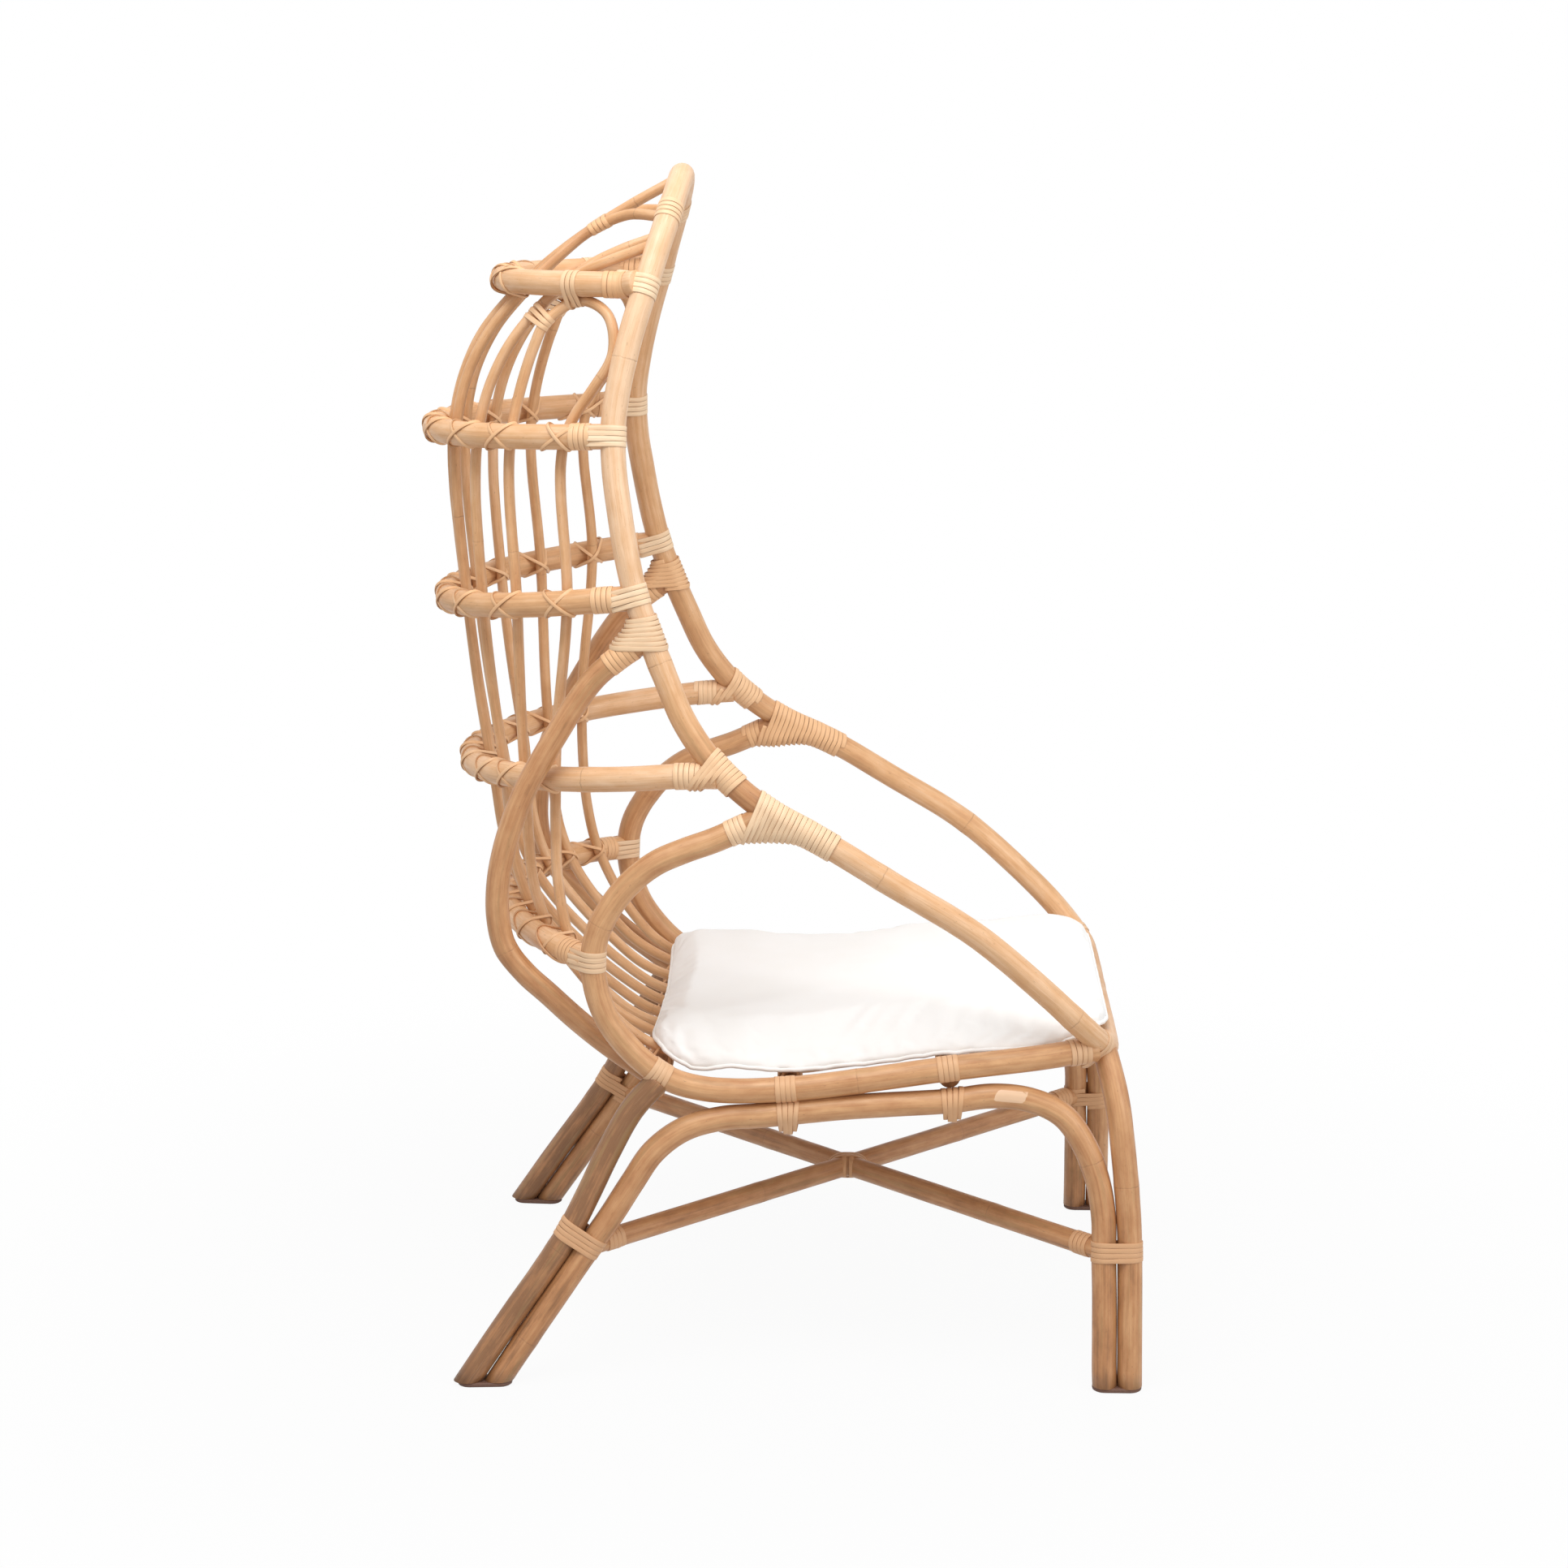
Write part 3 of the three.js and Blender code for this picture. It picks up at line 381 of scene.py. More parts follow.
def section(tree, point, heading):
    """Middle of the section of a solid round a point inside it."""
    side = heading.orthogonal().normalized()
    up = heading.cross(side)
    shift = Vector((0, 0, 0))
    for k in range(8):
        out = side * math.cos(math.pi * k / 8) + up * math.sin(math.pi * k / 8)
        shift += out * (tree.ray_cast(point, out)[3] - tree.ray_cast(point, -out)[3]) / 8
    return point + shift


def straight_rod(corners, tree):
    middle = corners.mean(axis=0)
    axis = np.linalg.svd(corners - middle, full_matrices=False)[2][0]
    half = ((corners - middle) @ axis).max() * 0.6
    a, b = (np.array(section(tree, Vector(middle + k * half * axis), Vector(axis))) for k in (-1, 1))
    axis = unit(b - a)
    reach = (corners - a) @ axis
    ends = np.array([a + reach.min() * axis, a + reach.max() * axis])
    radius = float(np.linalg.norm(np.cross(corners - a, axis), axis=1).max())
    return Rod(resample(ends, LINE_STEP), radius)


def rod_of(node):
    """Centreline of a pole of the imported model, found from the inside of its solid."""
    solid = bmesh.new()
    solid.from_mesh(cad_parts[node].data)
    bmesh.ops.remove_doubles(solid, verts=solid.verts, dist=WELD)
    solid.verts.ensure_lookup_table()
    solid.verts.index_update()
    tree = BVHTree.FromBMesh(solid)
    corners = np.array([v.co for v in solid.verts])
    if node.startswith(("stretcher", "seat_crossbar", "rear_seat_rail")):
        rod = straight_rod(corners, tree)
    else:
        rod = bent_rod(solid, corners, tree)
    solid.free()
    return rod


# Meshes

def round_ahead(points):
    """Way ahead at each point of a closed line."""
    return np.roll(points, -1, axis=0) - np.roll(points, 1, axis=0)


def circle(count):
    """Even angles round a circle."""
    return 2 * math.pi * np.arange(count) / count


def frames(points, closed=False):
    """Directions along and across a line at each of its points, carried along without twist."""
    if closed:
        ahead = units(round_ahead(points))
    else:
        ahead = units(np.gradient(points, axis=0))
    side = np.empty_like(points)
    side[0] = unit(np.cross(ahead[0], ODD_WAY))
    for i in range(1, len(points)):
        side[i] = unit(side[i - 1] - (side[i - 1] @ ahead[i]) * ahead[i])
    return ahead, side, np.cross(ahead, side)


def tube(line, radii, side, up, count):
    """Rings of points round a line."""
    turn = circle(count)
    ring = np.cos(turn)[None, :, None] * side[:, None, :] + np.sin(turn)[None, :, None] * up[:, None, :]
    return line[:, None, :] + np.reshape(radii, (-1, 1, 1)) * ring


def grid_faces(rows, sides, closed=False, first=0):
    """Quads of a tube of rows of points, with its ends filled unless it closes on itself."""
    faces = []
    for i in range(rows if closed else rows - 1):
        a = first + i * sides
        b = first + ((i + 1) % rows) * sides
        for k in range(sides):
            n = (k + 1) % sides
            faces.append((a + k, a + n, b + n, b + k))
    if not closed:
        last = first + (rows - 1) * sides
        faces.append(tuple(range(first + sides - 1, first - 1, -1)))
        faces.append(tuple(range(last, last + sides)))
    return faces


def linked(name, data):
    """A new object in the scene."""
    made = bpy.data.objects.new(name, data)
    bpy.context.scene.collection.objects.link(made)
    return made


def corners_of(thing):
    return np.array([v.co for v in thing.data.vertices])


def mesh_piece(name, points, faces, values=None):
    """A smooth-shaded object, with named values at its points for its material."""
    mesh = bpy.data.meshes.new(name)
    mesh.from_pydata(np.asarray(points).tolist(), [], faces)
    mesh.shade_smooth()
    for key, value in (values or {}).items():
        value = np.asarray(value, np.float32)
        kind = ("FLOAT", "value") if value.ndim == 1 else ("FLOAT_VECTOR", "vector")
        mesh.attributes.new(key, kind[0], "POINT").data.foreach_set(kind[1], value.ravel())
    return linked(name, mesh)


def finish_piece(piece, body, material, nodes=()):
    piece.data.materials.append(material)
    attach(piece, body)
    if nodes:
        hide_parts(*nodes)
    return piece


def ripple(rng, s, waves):
    """Slow random unevenness along a line, about -1 to 1."""
    total = np.zeros_like(s)
    for length in waves:
        total += np.sin(2 * math.pi * s / length + rng.uniform(0, 2 * math.pi))
    return total / len(waves)


def pole(name, rod, seed, material, nodes, shaved=None):
    """A round cane with its joints. Ends that meet another pole run into it, and feet are cut flat."""
    rng = np.random.default_rng(seed)
    # A pole's tones along it, painted shade at the back hoop's low ends and the leg hoops' feet
    tones = next(values for kind, values in CANE_TONES_AND_SHADE.items() if name.startswith(kind))
    start, stop = rod.points[0], rod.points[-1]
    if start[0] > stop[0] + ACROSS or (abs(start[0] - stop[0]) < ACROSS and start[1] > stop[1]):
        tones = tones[::-1]
    feet = [p[2] <= FOOT_HEIGHT for p in (start, stop)]
    low = -(FOOT_SINK if feet[0] else BITE)
    high = rod.length + (FOOT_SINK if feet[1] else BITE)
    s = np.linspace(low, high, int((high - low) / RING_STEP))
    clear = [FOOT_CUT if foot else END_CLEAR for foot in feet]
    between = s[(s > low + clear[0]) & (s < high - clear[1])]
    first = [low] if feet[0] else [low, low + END_RIM]
    last = [high] if feet[1] else [high - END_RIM, high]
    s = np.concatenate([first, between, last])
    points = np.array([rod.at(x) for x in s])
    joints = [rng.uniform(*FIRST_JOINT)]
    while joints[-1] < high:
        joints.append(joints[-1] + rng.uniform(*CANE_JOINT))
    off = s[:, None] - np.array(joints)[None, :]
    to_joint = off[np.arange(len(s)), np.abs(off).argmin(axis=1)]
    swell = mound(to_joint, *JOINT_SWELL)
    radii = rod.radius * (CANE_FULL + CANE_UNEVEN * ripple(rng, s, CANE_WAVES) + swell)
    sides = SPINDLE_SIDES if rod.radius < SPINDLE_R else POLE_SIDES
    ahead, side, up = frames(points)
    skin = tube(points, radii, side, up, sides)
    for row, foot in ((0, feet[0]), (-1, feet[1])):
        if foot:
            drop = (points[row, 2] - skin[row, :, 2]) / ahead[row, 2]
            skin[row] += drop[:, None] * ahead[row]
        else:
            skin[row] = points[row] + END_SHARE * (skin[row] - points[row])
    tone = np.interp(s / rod.length, np.linspace(0, 1, len(tones)), tones)
    tone = tone + rng.uniform(-TONE_SPREAD, TONE_SPREAD)
    shift = rng.uniform(0, GRAIN_SHIFT)
    turn = circle(sides)[None, :]
    around = (rod.radius * np.cos(turn), rod.radius * np.sin(turn))
    grain = np.stack(np.broadcast_arrays(*around, s[:, None] + shift), axis=2)
    values = {
        "grain": grain.reshape(-1, 3),
        "joint": np.repeat(to_joint, sides),
        "tone": np.repeat(tone, sides),
        "shaved": patch_reach(skin.reshape(-1, 3), rod, shaved),
    }
    piece = mesh_piece(name, skin.reshape(-1, 3), grid_faces(len(s), sides), values)
    return finish_piece(piece, "frame", material, nodes)


def patch_reach(points, rod, middle):
    """How far points of a pole lie inside the edge of a patch of it that was shaved flat, in metres."""
    if middle is None:
        return np.full(len(points), -1.0)
    s = rod.nearest(middle)
    along = rod.heading(s)
    face = unit(middle - rod.at(s))
    off = points - middle
    across = off @ np.cross(along, face)
    lengthwise = SHAVED[0] / 2 - np.abs(off @ along + SHAVED_SLANT * across)
    reach = np.minimum(lengthwise, SHAVED[1] / 2 - np.abs(across))
    return np.where(off @ face > -rod.radius, reach, -1.0)


def leaned_in(leg, bow):
    """A front leg with its top bent in under the corner of the bow, which it carries."""
    end, inward = leg.end_by(leg.points[leg.points[:, 2].argmax()])
    top = leg.at(end - inward * BITE)
    inner = top * (1 - LEG_LEAN / abs(top[0]), 1, 1)
    rise = np.maximum(leg.points[:, 2] - leg.points[:, 2].max() + LEG_BEND, 0) / LEG_BEND
    lean = bow.at(bow.nearest(inner)) - top
    return Rod(leg.points + lean * (rise ** 2)[:, None], leg.radius)


def hung(leg_hoop):
    """A leg hoop with its rail bent down off the side rail of the seat, with a slit between the two."""
    points = leg_hoop.points.copy()
    points[:, 2] -= mound(points[:, 1], *HOOP_SAG) * ease(points[:, 2], *HOOP_BEND)
    return Rod(points, leg_hoop.radius)


class Strips:
    """Flat strips of peel that become one piece."""

    PROFILE = ((-0.5, -0.4), (-0.5, 0.45), (-0.47, 0.8), (-0.4, 0.95), (0.0, 1.05),
               (0.4, 0.95), (0.47, 0.8), (0.5, 0.45), (0.5, -0.4))

    def __init__(self, seed, tones=TAN):
        self.rng = np.random.default_rng(seed)
        self.tones = tones
        self.points, self.faces, self.grain, self.tone = [], [], [], []
        self.count = 0

    def add(self, path, outs, width=PEEL_W, thick=PEEL_T, closed=False):
        """Lays a strip along a path, with its back to the poles and its face along outs."""
        path, outs = np.asarray(path), np.asarray(outs)
        ahead, _, _ = frames(path, closed)
        across = units(np.cross(ahead, outs))
        outs = np.cross(across, ahead)
        profile = np.array(self.PROFILE)
        rows = len(path)
        s = lengths(path)
        width = width * (1 + 0.06 * ripple(self.rng, s, (0.09, 0.04)))
        flat = across[:, None, :] * (profile[:, 0][None, :] * width[:, None])[:, :, None]
        skin = path[:, None, :] + flat + outs[:, None, :] * (profile[:, 1] * thick)[None, :, None]
        self.points.append(skin.reshape(-1, 3))
        self.faces += grid_faces(rows, len(profile), closed, self.count)
        shift = self.rng.uniform(0, GRAIN_SHIFT)
        section = (profile[None, :, 0] * PEEL_W, profile[None, :, 1] * thick)
        grain = np.stack(np.broadcast_arrays(*section, s[:, None] + shift), axis=2)
        self.grain.append(grain.reshape(-1, 3))
        self.tone.append(np.full(rows * len(profile), self.rng.uniform(*self.tones)))
        self.count += rows * len(profile)

    def piece(self, name, material, nodes=()):
        values = {"grain": np.concatenate(self.grain), "tone": np.concatenate(self.tone)}
        made = mesh_piece(name, np.concatenate(self.points), self.faces, values)
        return finish_piece(made, "frame", material, nodes)


# Bindings

def hull(points):
    """Convex outline of points in a plane, anticlockwise."""
    ordered = sorted(map(tuple, points))
    halves = []
    for run in (ordered, ordered[::-1]):
        chain = []
        for p in run:
            while len(chain) > 1:
                (ax, ay), (bx, by) = chain[-2:]
                if (bx - ax) * (p[1] - ay) - (by - ay) * (p[0] - ax) > 0:
                    break
                chain.pop()
            chain.append(p)
        halves += chain[:-1]
    return np.array(halves)


def even_hull(spots, step):
    """Convex outline of points in a plane, with its points an even step apart."""
    outline = hull(spots)
    return resample(np.vstack([outline, outline[:1]]), step)[:-1]


def outward(ahead):
    """Unit directions to the right of directions in a plane."""
    return units(np.stack([ahead[:, 1], -ahead[:, 0]], axis=1))


def crossing(rod, origin, normal):
    """Place where a rod passes through a plane near the plane's origin, or None if it ends short of it."""
    s = rod.nearest(origin)
    for _ in range(12):
        miss = float((np.asarray(origin) - rod.at(s)) @ normal)
        lean = float(rod.heading(s) @ normal)
        s += miss / lean if abs(lean) > 0.2 else 0.0
    near = -0.4 * rod.radius < s < rod.length + 0.4 * rod.radius
    met = abs(float((np.asarray(origin) - rod.at(s)) @ normal)) < 0.002
    return s if near and met else None


def girdle(origin, normal, rods, start, count=48):
    """Tight line round rods in a plane, as points and outward directions, begun on the side of start."""
    normal = unit(np.asarray(normal, float))
    u = unit(np.asarray(start) - (np.asarray(start) @ normal) * normal)
    v = np.cross(normal, u)
    spots = []
    turn = circle(32)
    for rod in rods:
        s = crossing(rod, origin, normal)
        if s is None:
            continue
        centre, along = rod.at(s), rod.heading(s)
        lean = max(abs(float(along @ normal)), 0.35)
        flat = along - (along @ normal) * normal
        length = np.linalg.norm(flat)
        major = flat / length if length > 1e-4 else u
        minor = np.cross(normal, major)
        oval = (np.cos(turn)[:, None] * major / lean + np.sin(turn)[:, None] * minor) * rod.radius
        spots += [((p - origin) @ u, (p - origin) @ v) for p in centre + oval]
    outline = even_hull(spots, GIRDLE_STEP)
    middle = (outline.max(axis=0) + outline.min(axis=0)) / 2
    angle = np.arctan2(*(outline - middle).T[::-1])
    outline = np.roll(outline, -int(np.argmin(np.abs(angle))), axis=0)
    pick = np.linspace(0, len(outline), count, endpoint=False)
    shape = np.stack([np.interp(pick, np.arange(len(outline) + 1), np.append(outline[:, k], outline[0, k]))
                      for k in (0, 1)], axis=1)
    plane = np.array([u, v])
    return origin + shape @ plane, outward(round_ahead(shape)) @ plane


def wind(strips, planes, rods, start, lift=0.0):
    """One strip wound round rods, its ends tucked in. It steps on to the next plane on the side of start."""
    loops = [girdle(origin, normal, rods, start) for origin, normal in planes]
    path, outs = [], []
    for (a, out_a), (b, out_b) in zip(loops, loops[1:]):
        turn = np.arange(len(a)) / len(a)
        share = (0.5 * (ease(turn, 0, 0.3) + ease(turn, 0.7, 1)))[:, None]
        path.append(a + (b - a) * share)
        outs.append(out_a + (out_b - out_a) * share)
    path, outs = np.concatenate(path), np.concatenate(outs)
    strips.add(*tucked(path + outs * lift, outs, 6))


def tucked(path, outs, count):
    """A strip's line with a count of points at each end pushed under the surface that it lies on."""
    depth = np.zeros(len(path))
    depth[:count] = np.linspace(1, 0, count)
    depth[-count:] = np.linspace(0, 1, count)
    return path - outs * (depth * TUCK * PEEL_T)[:, None], outs


def square_planes(rod, start, turns, pitch=PITCH):
    """Planes square to a rod, a turn apart."""
    return [(rod.at(start + i * pitch), rod.heading(start + i * pitch)) for i in range(turns + 1)]


def leaning_planes(rod, start, turns, normal_a, normal_b, pitch=PITCH):
    """Planes along a rod that lean from one direction to another."""
    planes = []
    for i in range(turns + 1):
        share = i / turns
        normal = unit(np.asarray(normal_a) * (1 - share) + np.asarray(normal_b) * share)
        planes.append((rod.at(start + i * pitch), normal))
    return planes


def crossings(a, b):
    """Each place where a rod touches another, as the nearest points of the two."""
    gaps = np.linalg.norm(a.points[:, None, :] - b.points[None, :, :], axis=2)
    near = np.flatnonzero(gaps.min(axis=1) < a.radius + b.radius + TOUCH)
    runs = np.split(near, np.flatnonzero(np.diff(near) > 1) + 1) if len(near) else []
    for run in runs:
        i = run[gaps[run].min(axis=1).argmin()]
        yield i, int(gaps[i].argmin())


def lash(strips, a, b, spread, shifts=(0.0,), width=LASH_W, thick=LASH_T):
    """Strips that cross on each other wherever a rod lies against another, round the two of them."""
    for i, k in crossings(a, b):
        along_a, along_b = a.heading(a.along[i]), b.heading(b.along[k])
        if abs(along_a @ along_b) > SIDE_BY_SIDE:
            continue
        for lean in (1, -1):
            angle = math.radians(strips.rng.uniform(*spread))
            normal = along_b * math.cos(angle) + along_a * lean * math.sin(angle)
            for shift in shifts:
                origin = (a.points[i] + b.points[k]) / 2 + along_b * shift
                path, outs = girdle(origin, normal, [a, b], a.points[i] - b.points[k], 56)
                strips.add(path + outs * 0.5 * thick * (1 + lean), outs, width, thick, closed=True)


def strap(strips, post, rail, tip, height, away):
    """A strip from one side of a rail's tip round the post that it meets, and back along its other side."""
    end, inward = rail.end_by(tip)
    s = post.nearest(tip)
    normal = facing(post, s, UP)
    origin = post.at(s) + normal * height
    back = rail.heading(end) * inward
    back = unit(back - (back @ normal) * normal)
    side = np.cross(normal, back)
    half = math.sqrt(max(rail.radius ** 2 - height ** 2, 1e-6))
    spots = [(post.radius * math.cos(t), post.radius * math.sin(t)) for t in circle(40)]
    middle = rail.at(end + inward * (away - post.radius)) - origin
    offset = float(middle @ side)
    spots += [(away, offset + half), (away, offset - half)]
    outline = hull(spots)
    far = outline[:, 0] > away - 1e-6
    outline = np.roll(outline, -int(np.argmax(far & ~np.roll(far, -1))), axis=0)
    path = resample(outline, STRAP_STEP)
    outs = outward(np.gradient(path, axis=0))
    basis = np.array([back, side])
    strips.add(*tucked(origin + path @ basis, outs @ basis, 3))


def mirrored(point, side):
    return np.array([abs(point[0]) * side, point[1], point[2]])


def spread_of(node, rod):
    """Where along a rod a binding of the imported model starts, and how many turns it has."""
    corners = corners_of(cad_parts[node])
    places = [rod.nearest(c) for c in corners]
    turns = int(round((max(places) - min(places) - CAD_PEEL_W) / CAD_PITCH))
    return min(places) + CAD_PEEL_W / 2, turns


def bent(points, radius):
    return Rod(catmull(points, LINE_STEP), radius)


def joined(a, b, point):
    """One rod from two that meet end to end near a point."""
    lines = []
    for rod, last in ((a, True), (b, False)):
        ends_here = rod.end_by(point)[1] < 0
        lines.append(rod.points if ends_here == last else rod.points[::-1])
    return Rod(resample(np.vstack(lines), LINE_STEP), a.radius)


def facing(rod, s, toward):
    """Heading of a rod, turned to agree with a direction."""
    way = rod.heading(s)
    return way if way @ np.asarray(toward) > 0 else -way


def downward(rod, s):
    """Heading of a rod, turned to point down, and +1 or -1 for that way along it."""
    down = facing(rod, s, -UP)
    return down, 1 if rod.heading(s) @ down > 0 else -1


def end_turns(strips, rod, s, inward, turns, start):
    """Turns round a rod near its end, from s on into the rod."""
    wind(strips, square_planes(rod, s, turns, inward * PITCH), [rod], start)


def wrap(strips, rod, point, turns, others, start):
    """Turns round a rod and what lies against it, with their middle at a point."""
    first = rod.nearest(point) - turns * PITCH / 2
    wind(strips, square_planes(rod, first, turns), [rod, *others], start)


def straps(strips, post, rail, tip, count=4):
    """Pale strips from a rail's tip round the post that it meets. Gives the place where they end."""
    end, inward = rail.end_by(tip)
    away = post.radius + STRAP_REACH
    clear = 0.004
    spot = rail.at(end + inward * clear)
    while np.linalg.norm(post.at(post.nearest(spot)) - spot) < away:
        clear += 0.001
        spot = rail.at(end + inward * clear)
    usual, strips.tones = strips.tones, PALE
    for k in range(count):
        strap(strips, post, rail, tip, (k - 1.5) * PITCH, away + STRAP_TAIL)
    strips.tones = usual
    return end + inward * clear, inward


# Materials

class Graph:
    """Builds a material or a world from nodes: call it with a kind of node, its sockets and its settings."""

    def __init__(self, owner):
        owner.use_nodes = True
        self.owner = owner
        self.tree = owner.node_tree
        self.tree.nodes.clear()

    def __call__(self, kind, sockets=None, **settings):
        made = self.tree.nodes.new("ShaderNode" + kind)
        for key, value in settings.items():
            setattr(made, key, value)
        for key, value in (sockets or {}).items():
            if isinstance(value, bpy.types.NodeSocket):
                self.tree.links.new(value, made.inputs[key])
            else:
                made.inputs[key].default_value = value
        return made

    def attribute(self, name, output):
        return self("Attribute", attribute_name=name).outputs[output]

    def noise(self, vector, stretch, detail=3, rough=0.55):
        scaled = self("VectorMath", {0: vector, 1: stretch}, operation="MULTIPLY").outputs[0]
        made = self("TexNoise", {"Vector": scaled, "Scale": 1.0, "Detail": detail, "Roughness": rough})
        return made.outputs["Fac"]

    def ramp(self, value, *stops):
        made = self("ValToRGB", {"Fac": value})
        band = made.color_ramp.elements
        for i, (place, colour) in enumerate(stops):
            stop = band[i] if i < 2 else band.new(place)
            stop.position = place
            stop.color = (*colour, 1)
        return made.outputs["Color"]

    def level(self, value, low, high, to_low=0.0, to_high=1.0, smooth=True):
        kind = "SMOOTHSTEP" if smooth else "LINEAR"
        sockets = {"Value": value, "From Min": low, "From Max": high, "To Min": to_low, "To Max": to_high}
        return self("MapRange", sockets, interpolation_type=kind).outputs["Result"]

    def math(self, operation, a, b=0.0):
        return self("Math", {0: a, 1: b}, operation=operation).outputs[0]

    def mix(self, share, a, b):
        a, b = ((*value, 1) if isinstance(value, tuple) else value for value in (a, b))
        return self("Mix", {0: share, 6: a, 7: b}, data_type="RGBA").outputs[2]

    def bump(self, height, strength, distance):
        return self("Bump", {"Height": height, "Strength": strength, "Distance": distance}).outputs["Normal"]

    def seen(self):
        """1 where the camera looks, also by a mirror or through glass, and 0 for the light on surfaces."""
        ray = self("LightPath").outputs
        direct = self.math("MAXIMUM", ray["Is Camera Ray"], ray["Is Glossy Ray"])
        return self.math("MAXIMUM", direct, ray["Is Transmission Ray"])

    def surface(self, sockets):
        shader = self("BsdfPrincipled", sockets)
        self("OutputMaterial", {"Surface": shader.outputs[0]})
        return self.owner


def rattan_material():
    """Cane from pale peach to brown by its tone, which at some ends is painted shade: fine grain, mottling,
    specks and faint joint lines.
    """
    g = Graph(bpy.data.materials.new("rattan"))
    grain = g.attribute("grain", "Vector")
    tone = g.attribute("tone", "Fac")
    joint = g.attribute("joint", "Fac")
    broad = g.noise(grain, (230, 230, 6), 3)
    fine = g.noise(grain, (1300, 1300, 24), 3, 0.65)
    mottle = g.noise(grain, (70, 70, 26), 4, 0.6)
    shade = g.math("ADD", tone, g.level(broad, 0.25, 0.75, -0.16, 0.16, False))
    shade = g.math("ADD", shade, g.level(mottle, 0.3, 0.7, -0.13, 0.13, False))
    colour = g.ramp(shade, (0.0, (0.86, 0.58, 0.365)), (1.0, (0.26, 0.12, 0.05)), (0.4, (0.7, 0.39, 0.185)),
                    (0.75, (0.5, 0.23, 0.094)))
    colour = g.mix(g.level(fine, 0.48, 0.78, 0, 0.4), colour, (0.38, 0.185, 0.08))
    colour = g.mix(g.level(fine, 0.45, 0.25, 0, 0.2), colour, (0.82, 0.55, 0.32))
    olive = g.noise(grain, (130, 130, 9), 2)
    colour = g.mix(g.math("MULTIPLY", g.level(olive, 0.52, 0.72, 0, 0.5), tone), colour, (0.36, 0.22, 0.09))
    specks = g.noise(grain, (520, 520, 130), 2, 0.7)
    colour = g.mix(g.level(specks, 0.67, 0.75, 0, 0.5), colour, (0.22, 0.105, 0.045))
    wander = g.math("MULTIPLY", g.math("SUBTRACT", g.noise(grain, (160, 160, 0), 2), 0.5), 0.004)
    away = g.math("ABSOLUTE", g.math("ADD", joint, wander))
    line = g.level(away, 0.0002, 0.0012, 1, 0)
    faint = g.level(g.noise(grain, (90, 90, 3), 1), 0.35, 0.65, 0.08, 0.42)
    colour = g.mix(g.math("MULTIPLY", line, faint), colour, (0.25, 0.12, 0.055))
    bare = g.level(g.attribute("shaved", "Fac"), -0.0004, 0.0004)
    colour = g.mix(g.math("MULTIPLY", bare, 0.75), colour, (0.86, 0.6, 0.4))
    rough = g.level(mottle, 0.3, 0.7, 0.38, 0.55, False)
    normal = g.bump(g.math("SUBTRACT", fine, line), 0.35, 0.0005)
    return g.surface({"Base Color": colour, "Roughness": rough, "Normal": normal, "Coat Weight": 0.1,
                      "Coat Roughness": 0.35})


def peel_material():
    """Split cane skin: paler, with hard lengthwise lines, browner by its tone, which on the far arm is painted
    shade. Painted shade also darkens it low down and along each strip's edges.
    """
    g = Graph(bpy.data.materials.new("peel"))
    grain = g.attribute("grain", "Vector")
    tone = g.attribute("tone", "Fac")
    lines = g.noise(grain, (1500, 1500, 22), 2)
    patch = g.noise(grain, (60, 60, 28), 2)
    colour = g.ramp(lines, (0.25, (0.77, 0.53, 0.32)), (0.8, (0.95, 0.765, 0.54)), (0.5, (0.91, 0.685, 0.46)))
    colour = g.mix(g.level(patch, 0.45, 0.75, 0, 0.4), colour, (0.79, 0.525, 0.31))
    colour = g.mix(g.level(tone, 0, 1, 0, 0.85, False), colour, (0.79, 0.445, 0.215))
    # Dark lines along each strip's edges: painted shade between neighbouring strips
    across = g.math("ABSOLUTE", g("SeparateXYZ", {0: grain}).outputs["X"])
    colour = g.mix(g.level(across, 0.4 * PEEL_W, 0.48 * PEEL_W, 0, 0.5), colour, (0.3, 0.15, 0.07))
    # Browner and darker below 0.75 m, most near the floor: painted shade low under the chair
    height = g("SeparateXYZ", {0: g("NewGeometry").outputs["Position"]}).outputs["Z"]
    colour = g.mix(g.level(height, 0.75, 0.15, 0, 0.7), colour, (0.58, 0.295, 0.138))
    rough = g.level(patch, 0.3, 0.7, 0.42, 0.6, False)
    return g.surface({"Base Color": colour, "Roughness": rough, "Normal": g.bump(lines, 0.4, 0.0005)})


def cloth_material():
    """White cotton canvas: a fine plain weave with uneven threads."""
    g = Graph(bpy.data.materials.new("canvas"))
    place = g("TexCoord").outputs["Object"]
    x = g("TexWave", {"Vector": place, "Scale": 420.0, "Distortion": 0.6, "Detail": 1.0}, bands_direction="X")
    y = g("TexWave", {"Vector": place, "Scale": 420.0, "Distortion": 0.6, "Detail": 1.0}, bands_direction="Y")
    weave = g.math("MULTIPLY", x.outputs["Fac"], y.outputs["Fac"])
    slub = g.noise(place, (90, 900, 300), 2)
    cloud = g.noise(place, (9, 9, 9), 2)
    colour = g.mix(g.level(cloud, 0.35, 0.65, 0, 1), (0.92, 0.912, 0.895), (0.935, 0.93, 0.92))
    colour = g.mix(g.level(weave, 0.0, 0.8, 0.1, 0), colour, (0.84, 0.825, 0.8))
    colour = g.mix(g.level(slub, 0.55, 0.8, 0, 0.12), colour, (0.84, 0.815, 0.78))
    normal = g.bump(g.math("ADD", weave, g.math("MULTIPLY", slub, 0.7)), 0.25, 0.0004)
    return g.surface({"Base Color": colour, "Roughness": 0.92, "Normal": normal, "Sheen Weight": 0.15})


